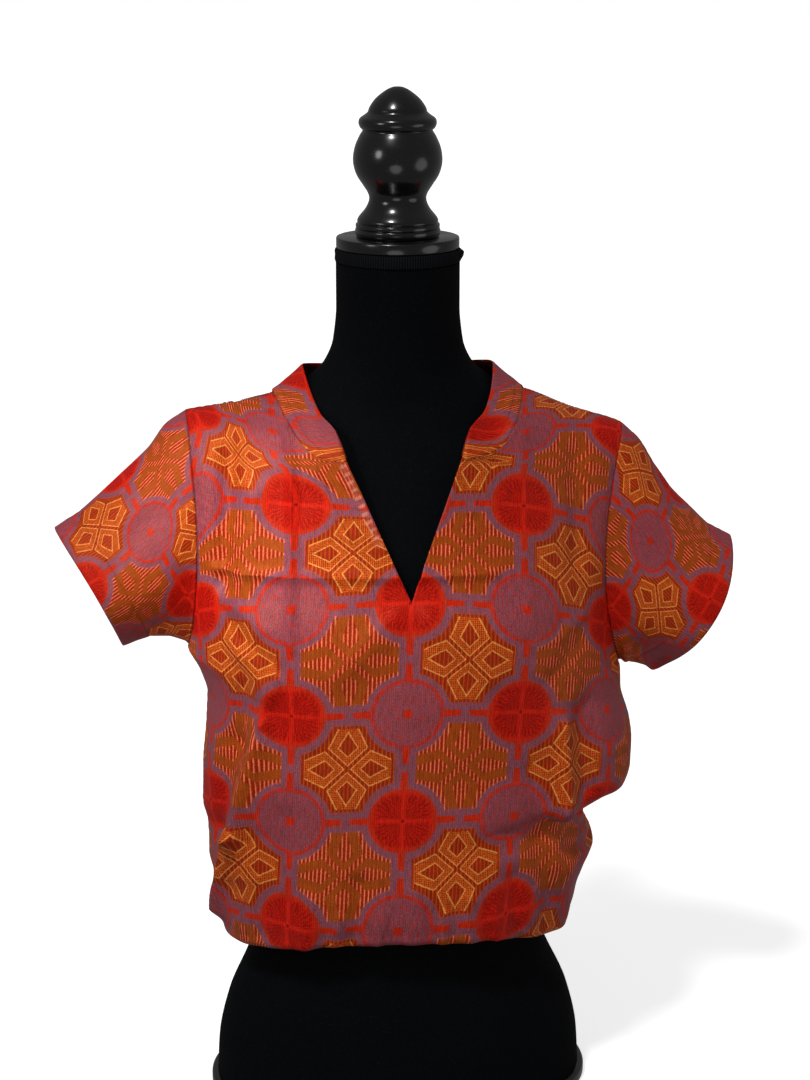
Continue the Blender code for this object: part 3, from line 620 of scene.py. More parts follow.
def buildSleeve(side, edgeLift):
    c = clothPatterns
    points, bearing = sleeveGrid(side)
    rings = sleeveCut["rings"] + 1
    height = lengthAlong(points[:rings], 0)
    around = lengthAlong(points[:rings], 1)
    mean = around.mean(0, keepdims=True)
    lift = np.zeros(points.shape[:2])
    share = np.linspace(0, 1, rings)[:, None]
    lift[:rings] = edgeLift[None, :] * ease(1 - share / 0.3)
    lift[:rings] += wobble(mean * side + 170, height + 300) * ease(share * 6) * ease((1 - share) * 8)
    lift[:rings] += seamWork(height, mean) - seamWork(0 * height, mean) * ease(1 - share / 0.06)
    toEdge = np.zeros(points.shape[:2])
    toEdge[:rings] = height[-1:] - height
    lift[:rings] -= 0.5 * np.exp(-((toEdge[:rings] - sleeveCut["hemDepth"]) / 1.8) ** 2) * ease(share * 5)
    toSeam = np.full(points.shape[:2], farAway)
    toSeam[:rings] = height
    # the grain runs along the top fold, and the weft along the hem
    tip = points[rings - 1, 0]
    grain = tip - points[0, 0]
    grain /= np.linalg.norm(grain)
    hemLine = points[rings - 1, len(bearing) // 2] - tip
    square = hemLine - grain * (hemLine @ grain)
    weft = grain - square * (hemLine @ grain) / (square @ square)
    steps = np.diff(points[:rings], axis=1)
    steps = np.sqrt(np.maximum((steps ** 2).sum(2) - (steps @ grain) ** 2, 0))
    girth = np.concatenate((np.zeros((rings, 1)), np.cumsum(steps, 1)), 1)
    signed = np.where(bearing > 180, girth - girth[:, -1:], girth)
    startU, startV = c["sleeve"][side]
    u, v = np.zeros(points.shape[:2]), np.zeros(points.shape[:2])
    u[:rings] = -side * signed / c["sleeveRepeat"][0] - startU
    v[:rings] = -((points[:rings] - tip) @ weft) / c["sleeveRepeat"][1] - startV
    inside = np.linspace(1, 1 - sleeveCut["hemDepth"] / height[-1].mean(), sleeveCut["hemRings"] + 1)
    at = np.clip(np.round(inside * (rings - 1)).astype(int), 0, rings - 1)
    lift[rings + 1:] = -lift[at]
    u[rings:] = u[rings - 1]
    v[rings:] = v[rings - 1] - np.linspace(0, 0.27, points.shape[0] - rings)[:, None]
    return [{"points": points, "lift": lift, "u": u, "v": v, "seam": toSeam, "edge": toEdge,
             "level": points[:, :, 2] - creases["level"], "plumb": np.full(u.shape, side * farAway),
             "flip": side < 0}]


def buildCollar():
    c = clothPatterns
    points = collarGrid()
    around, height = lengthAlong(points, 1), lengthAlong(points, 0)
    half = around[:, -1:] / 2
    lift = 0.3 * np.sin(around / 7 + 1.2 * np.sin(around / 23)) * np.exp(-((height - 9) / 6) ** 2)
    startU, startV = c["collar"]
    u = (around - half - startU) / c["collarRepeat"]
    v = (height - startV) / c["repeat"][1]
    ends = np.minimum(around, around[:, -1:] - around)
    toEdge = np.minimum(ends, np.abs(height - height[9:10]))
    return [{"points": points, "lift": lift, "u": u, "v": v, "seam": height, "edge": toEdge,
             "level": points[:, :, 2] - creases["level"], "plumb": np.full(u.shape, farAway), "flip": True}]


def bendGrid(mesh, points):
    # a flat grid whose corners are moved to their places; each corner with its row and column
    rows, columns = points.shape[:2]
    made = bmesh.ops.create_grid(mesh, x_segments=columns - 1, y_segments=rows - 1, size=1)["verts"]
    place = {}
    for corner in made:
        j, i = round((corner.co.x + 1) / 2 * (columns - 1)), round((corner.co.y + 1) / 2 * (rows - 1))
        place[corner] = (i, j)
        corner.co = points[i, j] * mm
    return place


def layGrid(sheet, grid, number):
    # one grid of cloth in the shared mesh
    layers = [(sheet.verts.layers.float[key], grid[key]) for key in distances]
    piece, pattern = sheet.faces.layers.int["piece"], sheet.loops.layers.uv["pattern"]
    place = bendGrid(sheet, grid["points"])
    for corner, (i, j) in place.items():
        for layer, values in layers:
            corner[layer] = values[i, j]
    faces = list({face for corner in place for face in corner.link_faces})
    for face in faces:
        face[piece] = number
        face.smooth = True
        for loop in face.loops:
            i, j = place[loop.vert]
            loop[pattern].uv = (grid["u"][i, j], grid["v"][i, j])
    if grid["flip"]:
        bmesh.ops.reverse_faces(sheet, faces=faces)


def weldCloth():
    # every piece of the blouse is drawn as one surface, so that the seams meet
    panels = {"front": buildPanels(-1), "back": buildPanels(1)}
    sheet = bmesh.new()
    for key in distances:  # in millimetres
        sheet.verts.layers.float.new(key)
    sheet.faces.layers.int.new("piece")
    sheet.loops.layers.uv.new("pattern")
    pieces = dict(panels)
    rows = len(yokeLevels()) + 1
    for name, side in (("sleeve_left", -1), ("sleeve_right", 1)):
        half = 0 if side < 0 else 1
        front = panels["front"][half]["lift"][-rows:, -1][::-1]
        back = panels["back"][half]["lift"][-rows:, -1][::-1]
        pieces[name] = buildSleeve(side, np.concatenate((front, back[-2::-1])))
    pieces["collar"] = buildCollar()
    for number, grids in enumerate(pieces.values()):
        for grid in grids:
            layGrid(sheet, grid, number)
    bmesh.ops.remove_doubles(sheet, verts=sheet.verts, dist=0.00003)
    sheet.normal_update()
    lift = sheet.verts.layers.float["lift"]
    moves = [(corner, corner.normal * corner[lift] * mm) for corner in sheet.verts]
    for corner, move in moves:
        corner.co += move
    return sheet, list(pieces)


def cutPiece(sheet, name, number, settings):
    # one piece of the welded cloth as its own object, with a wall on its inner side
    part = sheet.copy()
    piece = part.faces.layers.int["piece"]
    bmesh.ops.delete(part, geom=[f for f in part.faces if f[piece] != number], context="FACES")
    data = bpy.data.meshes.new(name + "_cloth")
    part.to_mesh(data)
    part.free()
    obj = bpy.data.objects.new(name + "_cloth", data)
    bpy.context.scene.collection.objects.link(obj)
    wall = obj.modifiers.new("wall", "SOLIDIFY")
    wall.thickness = settings["wall"] * mm
    wall.offset = -1
    wall.material_offset = 1
    wall.material_offset_rim = 0
    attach(obj, "root")
    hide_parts(name)
    return obj


clothPieces = {  # wall in millimetres; cut width, length and area in metres
    "front": {"wall": 0.9, "flat": (0.50, 0.56), "area": 0.21, "held": "hung"},
    "back": {"wall": 0.9, "flat": (0.50, 0.60), "area": 0.23, "held": "hung"},
    "sleeve_left": {"wall": 0.5, "flat": (0.44, 0.17), "area": 0.06, "held": "hung"},
    "sleeve_right": {"wall": 0.5, "flat": (0.44, 0.17), "area": 0.06, "held": "hung"},
    "collar": {"wall": 0.4, "flat": (0.42, 0.06), "area": 0.024, "held": "folded"},
}


class Wire:
    # a value inside a shader, reckoned with like a number
    def __init__(self, socket):
        self.socket, self.tree = socket, socket.id_data

    def __add__(self, other):
        return maths("ADD", self, other)

    def __sub__(self, other):
        return maths("SUBTRACT", self, other)

    def __rsub__(self, other):
        return maths("SUBTRACT", other, self)

    def __mul__(self, other):
        return maths("MULTIPLY", self, other)

    def __truediv__(self, other):
        return maths("DIVIDE", self, other)

    def __abs__(self):
        return maths("ABSOLUTE", self)

    __radd__, __rmul__ = __add__, __mul__


def feed(node, inputs):
    for key, value in inputs.items():
        if isinstance(value, Wire):
            value.tree.links.new(value.socket, node.inputs[key])
        else:
            node.inputs[key].default_value = value


def addNode(tree, kind, inputs=None, **settings):
    node = tree.nodes.new(kind)
    for key, value in settings.items():
        setattr(node, key, value)
    feed(node, inputs or {})
    return node


def wire(node, key=0):
    return Wire(node.outputs[key])


def maths(operation, *values):
    tree = next(v.tree for v in values if isinstance(v, Wire))
    return wire(addNode(tree, "ShaderNodeMath", dict(enumerate(values)), operation=operation))


def above(value, limit, soft=0.006):
    # a mask that goes from 0 to 1 as the value passes the limit
    inputs = {"Value": value, "From Min": limit - soft, "From Max": limit + soft}
    ramp = addNode(value.tree, "ShaderNodeMapRange", inputs, interpolation_type="SMOOTHSTEP")
    return wire(ramp, "Result")


def below(value, limit, soft=0.006):
    return 1.0 - above(value, limit, soft)


def blend(mask, low, high, way="MIX"):
    tree = next(v.tree for v in (mask, low, high) if isinstance(v, Wire))
    inputs = {0: mask, 6: low, 7: high}
    return wire(addNode(tree, "ShaderNodeMix", inputs, data_type="RGBA", blend_type=way), 2)


def parts(vector):
    node = addNode(vector.tree, "ShaderNodeSeparateXYZ", {0: vector})
    return [wire(node, k) for k in range(3)]


def noise(vector, scale, detail=2.0, stretch=(1, 1, 1)):
    place = wire(addNode(vector.tree, "ShaderNodeMapping", {"Vector": vector, "Scale": stretch}))
    inputs = {"Vector": place, "Scale": scale, "Detail": detail}
    return wire(addNode(vector.tree, "ShaderNodeTexNoise", inputs))


def bump(height, strength, distance):
    inputs = {"Height": height, "Strength": strength, "Distance": distance * mm}
    return wire(addNode(height.tree, "ShaderNodeBump", inputs))


def group(name, inputs, outputs):
    tree = bpy.data.node_groups.new(name, "ShaderNodeTree")
    for key, (kind, value) in inputs.items():
        socket = tree.interface.new_socket(name=key, in_out="INPUT", socket_type="NodeSocket" + kind)
        if value is not None:
            socket.default_value = value
    for key, kind in outputs.items():
        tree.interface.new_socket(name=key, in_out="OUTPUT", socket_type="NodeSocket" + kind)
    given = tree.nodes.new("NodeGroupInput")
    return tree, [wire(given, key) for key in inputs], tree.nodes.new("NodeGroupOutput")


def useGroup(tree, name, inputs):
    return addNode(tree, "ShaderNodeGroup", inputs, node_tree=bpy.data.node_groups[name])


def fromHex(code):
    # a display colour as the linear one that Blender reckons with
    shares = [int(code[k:k + 2], 16) / 255 for k in (0, 2, 4)]
    return tuple(c / 12.92 if c <= 0.04045 else ((c + 0.055) / 1.055) ** 2.4 for c in shares) + (1.0,)


brocade = {  # sizes are shares of one repeat, colours as the thread looks
    "colours": {
        "lilac": "8b5262", "mauve": "9c383b", "scarlet": "cc280f", "red": "dc1a0e", "darkRed": "960502",
        "orange": "e26a22", "yellow": "f09a48", "ochre": "a64c10", "brick": "a02408", "stripe": "f87c4e",
    },
    "roundel": 0.305,
    "ring": (0.288, 0.322),
    "band": 0.376,
    "link": (0.096, 0.098),  # half width of the bands across and up
    "bar": 0.036,
    "barTaper": 0.06,
    "barEnd": 0.463,
    "stripe": 0.0355,
    "comb": 0.011,
    "square": 0.012,  # in the middle of a mauve circle
    # foot, width, taper, band, inner taper
    "kitesA": (0.03, 0.171, 0.47, 0.082, 0.58),
    "kitesB": (0.035, 0.163, 0.25, 0.087, 0.29),
    "kiteFar": 0.19,
    "kiteEnd": 0.378,
    "line": 0.0065,
    "crisp": 0.004,
    "dots": 30,  # in one repeat
    "rays": 36.0,
    "rayReach": 0.2,
    "redRim": 0.262,
    "cross": 0.012,
    "crossReach": 0.22,
    "fray": 0.016,
    # noise: scale, detail, stretch
    "frayNoise": 95.0,
    "speck": (130.0, 2.0, (1.0, 0.45, 1.0)),
    "fleck": (60.0, 2.0, (1.0, 0.2, 1.0)),
    "curl": (26.0, 1.0),
    "wander": (9.0, 1.0),
    "slub": (62.0, 3.0, (1.0, 0.14, 1.0)),
    "patchy": (105.0, 2.0, (1.0, 0.6, 1.0)),
}


def kites(far, near, foot, wide, taper, band, innerTaper):
    # four kites round the middle of a cell: how far a point is inside their outer and inner lines
    past = far - brocade["kiteFar"]
    outer = maths("MINIMUM", far - foot, wide - past * taper) - near
    inner = maths("MINIMUM", far - (foot + band), (wide - band) - past * innerTaper) - near
    return outer, inner


def makePatternGroup():
    # lattice of roundels and cross-shaped cells; one repeat is one unit of the pattern map
    b = brocade
    colour = {name: fromHex(code) for name, code in b["colours"].items()}
    tree, (place,), out = group("lattice pattern", {"Place": ("Vector", None)},
                                {"Color": "Color", "Relief": "Float"})
    fray = addNode(tree, "ShaderNodeTexNoise", {"Vector": place, "Scale": b["frayNoise"], "Detail": 1.0})
    middle = {0: wire(fray, "Color"), 1: (0.5, 0.5, 0.5)}
    fray = addNode(tree, "ShaderNodeVectorMath", middle, operation="SUBTRACT")
    fray = addNode(tree, "ShaderNodeVectorMath", {0: wire(fray), "Scale": b["fray"]}, operation="SCALE")
    frayed = addNode(tree, "ShaderNodeVectorMath", {0: place, 1: wire(fray)}, operation="ADD")
    x, y = parts(wire(frayed))[:2]

    def centred(value, shift):
        return maths("FRACT", value + shift) - 0.5

    def odd(operation):
        return above(maths("FLOORED_MODULO", maths(operation, x) + maths(operation, y), 2.0), 0.5, 0.1)

    def bar(across, along):
        width = b["bar"] - (along - 0.3) * b["barTaper"]
        return below(across, width) * below(along, b["barEnd"]) * above(along, b["roundel"])

    cx, cy = centred(x, 0.5), centred(y, 0.5)
    ax, ay = abs(cx), abs(cy)
    far, near = maths("MAXIMUM", ax, ay), maths("MINIMUM", ax, ay)
    radius = maths("SQRT", cx * cx + cy * cy)
    isMauve, isCellB = odd("ROUND"), 1.0 - odd("FLOOR")
    stripe = above(maths("SINE", x * (2 * pi / b["stripe"])), 0.5, 0.25)
    speck, fleck = noise(place, *b["speck"]), noise(place, *b["fleck"])

    # the lattice: lilac bands with scarlet bars that stop short of the middle of each link
    ground = blend(above(speck, 0.56, 0.08), colour["lilac"], colour["mauve"])
    ground = blend(maths("MAXIMUM", bar(ax, ay), bar(ay, ax)), ground, colour["scarlet"])

    # mauve circles: a thin scarlet ring, specks and a small square in the middle
    ring = above(radius, b["ring"][0], 0.012) * below(radius, b["ring"][1])
    ring = ring * (0.45 + above(fleck, 0.48, 0.1) * 0.55)
    mauveDisc = blend(above(speck, 0.5, 0.1), colour["mauve"], colour["lilac"])
    for mask in (above(fleck, 0.6, 0.06) * 0.55, below(far, b["square"] + speck * 0.05), ring):
        mauveDisc = blend(mask, mauveDisc, colour["scarlet"])

    # red roundels: fine dark rays in four lobes, with a plain cross between them
    angle = maths("ARCTAN2", cy, cx)
    lobes = abs(maths("SINE", angle * 2.0))
    curl = noise(place, *b["curl"]) * 9.0 + maths("SINE", radius * 90.0)
    rays = maths("SINE", angle * b["rays"] + curl)
    reach = b["rayReach"] + (lobes * 0.05 + fleck * 0.05)
    inLobe = below(radius, reach, 0.03) * above(radius, 0.03, 0.02) * above(near, 0.02, 0.012)
    cross = below(near, b["cross"], 0.008) * below(radius, b["crossReach"], 0.03)
    redDisc = blend(above(radius, b["redRim"], 0.012), colour["red"], colour["scarlet"])
    redDisc = blend(cross * 0.3, redDisc, colour["scarlet"])
    for mask in (inLobe * 0.3, inLobe * above(rays, 0.0, 0.6) * 0.8, below(radius, 0.016, 0.004)):
        redDisc = blend(mask, redDisc, colour["darkRed"])

    # cells: kites over stripes, in two colourings
    vx, vy = abs(centred(x, 0.0)), abs(centred(y, 0.0))
    far, near = maths("MAXIMUM", vx, vy), maths("MINIMUM", vx, vy)
    outerA, innerA = kites(far, near, *b["kitesA"])
    outerB, innerB = kites(far, near, *b["kitesB"])
    step = 2 * pi * b["dots"]
    dots = maths("SINE", (x + y) * step) * maths("SINE", (x - y) * step)
    dots = above(dots + speck * 1.2, 0.6, 0.3)
    withinEnd = below(far, b["kiteEnd"], b["crisp"])
    lines = maths("MAXIMUM", *(below(abs(k), b["line"], b["crisp"]) for k in (outerA, innerA)))
    brick, orange = colour["brick"], colour["orange"]
    cellA = blend(stripe * 0.45, brick, orange)
    cellA = blend(above(outerA, 0.0, b["crisp"]) * withinEnd, cellA, blend(dots, brick, orange))
    cellA = blend(above(innerA, 0.0, b["crisp"]), cellA, blend(stripe * 0.35, brick, orange))
    cellA = blend(lines * withinEnd, cellA, colour["yellow"])
    inBand = above(outerB, 0.0, b["crisp"]) * below(innerB, 0.0, b["crisp"])
    ochre = blend(dots * 0.3, colour["ochre"], brick)
    cellB = blend(inBand * 0.92, blend(stripe, brick, colour["stripe"]), ochre)
    cells = blend(isCellB, cellA, cellB)

    # put together; the ends of the stripes stand out over the band like a comb
    comb = stripe * b["comb"]
    inCell = above(radius + comb, b["band"])
    for value, limit in zip((ax, ay), b["link"]):
        inCell = inCell * above(value + comb, limit)
    inRed = below(radius, b["roundel"]) * (1.0 - isMauve)
    inMauve = below(radius, b["ring"][1]) * isMauve
    colours = blend(inRed, blend(inMauve, blend(inCell, ground, cells), mauveDisc), redDisc)
    relief = maths("MAXIMUM", inCell * 0.7, maths("MAXIMUM", inRed, ring * isMauve))
    feed(out, {"Color": colours, "Relief": relief})


def makeWeaveGroup():
    # fine upright ribs, crossed by the weft, with uneven threads
    b = brocade
    _, (place, ribs), out = group("ribbed weave", {"Place": ("Vector", None), "Ribs": ("Float", 80.0)},
                                  {"Shade": "Float", "Height": "Float"})
    x, y = parts(place)[:2]
    rib = maths("SINE", x * ribs * (2 * pi) + noise(place, *b["wander"]) * 1.5)
    weft = maths("SINE", y * ribs * (4 * pi))
    slub, patchy = noise(place, *b["slub"]), noise(place, *b["patchy"])
    feed(out, {"Shade": -0.15 + slub * 1.15 + patchy * 1.15 + rib * 0.14,
               "Height": rib * 0.4 + weft * 0.12 + slub * 0.9})


def newMaterial(name, roughness, **settings):
    material = bpy.data.materials.new(name)
    material.use_nodes = True
    shader = material.node_tree.nodes["Principled BSDF"]
    named = {key.replace("_", " "): value for key, value in settings.items()}
    feed(shader, {"Roughness": roughness, **named})
    return material, material.node_tree, shader


clothFinish = {  # lengths in millimetres
    "ribs": 58.0,  # in one repeat
    "sheenTint": (1.0, 0.28, 0.14, 1.0),
    "insideTint": "6e120c",
    "insideShare": 0.72,
    # the turned edge of the V shows on the left, pulled by its stitches; the pale pink ticks across it are
    # painted highlights on its small puckers
    "turned": {"edge": (1.2, 0.8, 6.5, 1.5), "level": (26.0, 6.0, 98.0, 6.0),
               "plumb": (6.0, 4.0, 94.0, 2.0)},
    "turnedTint": "b8524c",
    "turnedShare": 0.4,
    "pullHighlightTint": "f2a58c",
    "pullHighlightShare": 0.42,
    "pullHighlightStep": 6.4,
    "stitches": 34,  # in one repeat
    "stitchIn": 1.0,
    # each crease line with where it starts and ends along the other one
    "creases": (("level", "plumb", (-62.0, 6.0, 160.0, 12.0)),
                ("plumb", "level", (-55.0, 6.0, 110.0, 12.0))),
}


def within(value, low, softLow, high, softHigh):
    return above(value, low, softLow) * below(value, high, softHigh)


def makeBrocade(name, inside):
    f = clothFinish
    material, tree, shader = newMaterial(name, 0.42, Specular_IOR_Level=0.55, Specular_Tint=f["sheenTint"])
    place = wire(addNode(tree, "ShaderNodeUVMap", uv_map="pattern"))
    pattern = useGroup(tree, "lattice pattern", {"Place": place})
    weave = useGroup(tree, "ribbed weave", {"Place": place, "Ribs": f["ribs"]})
    colour, relief, uneven = wire(pattern, "Color"), wire(pattern, "Relief"), wire(weave, "Shade")
    if inside:
        colour = blend(f["insideShare"], colour, fromHex(f["insideTint"]))
    d = {key: wire(addNode(tree, "ShaderNodeAttribute", attribute_name=key), "Fac")
         for key in distances[1:]}
    turned = 1.0
    for key, limits in f["turned"].items():
        turned = turned * within(d[key], *limits)
    # painted highlight: pale pink diagonal ticks on the turned edge, standing in for light on its puckers
    pullHighlights = above(maths("SINE", d["level"] * (2 * pi / f["pullHighlightStep"]) + d["edge"] * 0.5), 0.35, 0.4)
    colour = blend(turned * f["turnedShare"], colour, fromHex(f["turnedTint"]))
    colour = blend(turned * pullHighlights * f["pullHighlightShare"], colour, fromHex(f["pullHighlightTint"]))
    # a row of small stitches holds each hem
    hem = below(abs(d["edge"] - (sleeveCut["hemDepth"] - f["stitchIn"])), 0.5, 0.3)
    stitch = hem * above(maths("SINE", parts(place)[0] * (2 * pi * f["stitches"])), -0.35, 0.2)
    # painted shade: the cloth is darker within about a millimetre of each seam, where it dips into the seam
    shade = uneven * (0.7 + above(d["seam"], 0.9, 0.8) * 0.3) * (1.0 - stitch * 0.35)
    grey = wire(addNode(tree, "ShaderNodeCombineColor", {0: shade, 1: shade, 2: shade}))
    height = wire(weave, "Height") * 0.09 + relief * 0.12 - stitch * 0.3
    for line, other, limits in f["creases"]:
        ridge = maths("MAXIMUM", 1.0 - abs(d[line]) / creases["halfWidth"], 0.0)
        height = height + ridge * within(d[other], *limits) * creases["depth"]
    feed(shader, {"Base Color": blend(1.0, colour, grey, "MULTIPLY"), "Normal": bump(height, 0.7, 1.0),
                  "Roughness": 0.36 + uneven * 0.12 + relief * 0.06})
    return material


def makeJersey(name, ribs, crestHighlight):
    # black stretch jersey: tiny knit columns, or the ribs of the neck band, with a painted highlight along
    # their crests
    material, tree, shader = newMaterial(name, 0.8, Specular_IOR_Level=0.06)
    place = wire(addNode(tree, "ShaderNodeTexCoord"), "Object")
    x, y, z = parts(place)
    column = maths("SINE", maths("ARCTAN2", y, x) * ribs)
    course = maths("SINE", z * (2 * pi / (1.1 * mm)))
    # painted highlight: the crests of the knit columns and ribs are lighter
    colour = blend(above(column, 0.3, 0.5), fromHex("040507"), fromHex(crestHighlight))
    colour = blend(above(noise(place, 900.0), 0.66, 0.05), colour, fromHex("15161b"))
    feed(shader, {"Base Color": colour, "Roughness": 0.7 + noise(place, 18.0, 3.0) * 0.2,
                  "Normal": bump(column * 0.6 + course * 0.3, 0.35, 0.3)})
    return material


def makeLacquer():
    # satin black lacquer on turned wood: faint grain, dust and rubbed patches
    material, tree, shader = newMaterial("black lacquer", 0.25, Coat_Weight=0.45, Coat_Roughness=0.13,
                                         Specular_IOR_Level=0.4)
    place = wire(addNode(tree, "ShaderNodeTexCoord"), "Object")
    grain, dust = noise(place, 70.0, 3.0, (1.0, 1.0, 0.15)), noise(place, 700.0)
    feed(shader, {"Base Color": blend(above(dust, 0.69, 0.03), fromHex("09090b"), fromHex("26262a")),
                  "Roughness": 0.12 + grain * 0.2, "Normal": bump(grain, 0.25, 0.3)})
    return material


makePatternGroup()
makeWeaveGroup()
finishes = {
    "outside": makeBrocade("brocade outside", False),
    "inside": makeBrocade("brocade inside", True),
    "jersey": makeJersey("black jersey", 900.0, "07090d"),
    "ribbed": makeJersey("ribbed jersey", 150.0, "1b1c20"),
    "lacquer": makeLacquer(),
}
print("materials made")


def dressCloth():
    sheet, names = weldCloth()
    print("cloth welded:", len(sheet.faces), "faces")
    for number, name in enumerate(names):
        piece = cutPiece(sheet, name, number, clothPieces[name])
        piece.data.materials.append(finishes["outside"])
        piece.data.materials.append(finishes["inside"])
    sheet.free()


dressCloth()
print("cloth pieces cut")


form = {  # the padded torso: height, half width left and right, depth front and behind
    "rows": [
        (12.3, 164, 164, 98, 106),
        (45, 162, 162, 98, 105),
        (85, 153, 153, 94, 98),
        (125, 136, 135, 87, 86),
        (160, 123, 120, 82, 77),
        (195, 117, 116, 81, 74),
        (228, 117, 117, 83, 75),
        (262, 122, 122, 86, 78),
        (302, 129, 129, 92, 83),
        (345, 136, 136, 100, 88),
        (385, 141, 141, 107, 91),
        (418, 145, 145, 109, 92),
        (452, 149, 149, 105, 91),
        (492, 154, 154, 97, 88),
        (532, 160, 160, 88, 81),
        (565, 163, 162, 79, 72),
        (585, 161, 157, 71, 60),
        (600, 147, 141, 64, 50),
        (611, 130, 124, 59, 45),
        (621, 108.5, 105.5, 56, 45),
        (630, 94, 93, 54, 47),
        (641, 78, 78, 53, 49),
        (654, 63, 63, 52, 49),
        (674, 54, 54, 51, 50),
        (702, 51, 51, 50, 50),
        (738, 51, 51, 50, 50),
    ],
    "square": 2.15,
    "around": 160,
    "levels": 200,
    "slack": 1.3,  # the smooth form stands this far inside the facets of the CAD one
    "boardRim": 4,
}


def formSection(z, turns, grow):
    power = 2 / form["square"]
    across, along = np.sin(turns), -np.cos(turns)
    left, right, front, back = (readTable(form["rows"], k, z)[:, None] + grow for k in (1, 2, 3, 4))
    x = np.where(across < 0, left, right) * np.sign(across) * np.abs(across) ** power
    y = np.where(along < 0, front, back) * np.sign(along) * np.abs(along) ** power
    return np.stack(np.broadcast_arrays(x, y, z[:, None]), axis=-1)


def wrapGrid(name, points, material):
    # a grid bent round into a closed skin: its ends meet and its rims are filled
    skin = bmesh.new()
    bendGrid(skin, points)
    bmesh.ops.remove_doubles(skin, verts=skin.verts, dist=0.00001)
    bmesh.ops.holes_fill(skin, edges=[e for e in skin.edges if e.is_boundary], sides=0)
    bmesh.ops.recalc_face_normals(skin, faces=skin.faces)
    return finishPiece(name, skin, material)


def finishPiece(name, skin, material, sharp=40):
    data = bpy.data.meshes.new(name)
    skin.to_mesh(data)
    skin.free()
    data.shade_smooth()
    data.set_sharp_from_angle(angle=radians(sharp))
    data.materials.append(material)
    obj = bpy.data.objects.new(name, data)
    bpy.context.scene.collection.objects.link(obj)
    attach(obj, "root")
    return obj


def addTorso():
    f = form
    turns = np.linspace(0, 2 * pi, f["around"] + 1)
    z = np.linspace(f["rows"][0][0], f["rows"][-1][0], f["levels"] + 1)
    slack = f["slack"] * ease((690 - z) / 60)[:, None]
    torso = wrapGrid("torso_jersey", formSection(z, turns, -slack), finishes["jersey"])
    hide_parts("form_torso")


def addBoard():
    # the board's rounded rim follows the foot of the torso
    f = form
    turns = np.linspace(0, 2 * pi, f["around"] + 1)
    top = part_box("form_base")[1].z / mm
    quarter = np.linspace(0, pi / 2, 6)
    reach, roll = f["boardRim"], 3.0
    levels = [(roll - roll * sin(pi / 2 - a), -roll + roll * cos(pi / 2 - a)) for a in quarter]
    levels = levels + [(top - z, grow) for z, grow in reversed(levels)]
    foot = np.array([f["rows"][0][0]])
    rings = []
    for z, grow in levels:
        ring = formSection(foot, turns, reach + grow)[0]
        ring[:, 2] = z
        rings.append(ring)
    board = wrapGrid("base_board", np.array(rings), finishes["lacquer"])
    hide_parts("form_base")


def turnPiece(name, profile, material, steps=128, sharp=40):
    # a turned piece: a line of edges spun once round the upright axis
    skin = bmesh.new()
    corners = [skin.verts.new((r * mm, 0, z * mm)) for r, z in profile]
    edges = [skin.edges.new(pair) for pair in zip(corners, corners[1:])]
    bmesh.ops.spin(skin, geom=corners + edges, cent=(0, 0, 0), axis=(0, 0, 1), angle=2 * pi,
                   steps=steps, use_merge=True)
    bmesh.ops.remove_doubles(skin, verts=skin.verts, dist=0.00001)
    bmesh.ops.recalc_face_normals(skin, faces=skin.faces)
    return finishPiece(name, skin, material, sharp)


neckParts = {
    "trimRadius": 52,
    "trimLow": 738.3,
    "trimHigh": 749,
    "discRadius": 50.7,
    "discLow": 749.3,
    "discHigh": 758.6,
    # radius and height above the disc, from the finial's foot up
    "finial": [
        (34.0, 0.3), (34.9, 2.5), (34.9, 6.0), (33.9, 6.9), (34.5, 7.8), (34.4, 10.4),
        (32.8, 11.3), (33.3, 12.6), (32.9, 14.6), (31.0, 17.5),
        (26.5, 23.0), (23.6, 29.5), (24.2, 35.0), (28.5, 42.0), (33.6, 50.0), (36.2, 58.5),
        (36.3, 66.0), (34.6, 74.0), (31.0, 82.0), (28.6, 86.0), (30.4, 88.0), (31.8, 91.5),
        (31.0, 95.4), (27.2, 98.3), (24.3, 100.8), (22.8, 104.8), (17.8, 111.6), (9.6, 118.0), (4.0, 120.6),
    ],
    "finialTop": 121,
    # where the band's cord is gathered: angle in degrees, height, reach, spread in degrees and up
    "gather": (-14, 745.5, 3.6, 6.0, 3.5),
    "gatherFrom": 45,  # only the rim swells
}


def smoothProfile(points, steps=4):
    # a softer line through the points of a profile
    points = np.array(points, float)
    padded = np.vstack((points[:1], points, points[-1:]))
    out = []
    for a, b, c, d in zip(padded, padded[1:], padded[2:], padded[3:]):
        for k in range(steps):
            t = k / steps
            out.append(0.5 * (2 * b + (c - a) * t + (2 * a - 5 * b + 4 * c - d) * t ** 2
                              + (3 * b - a - 3 * c + d) * t ** 3))
    return [tuple(p) for p in out] + [tuple(points[-1])]


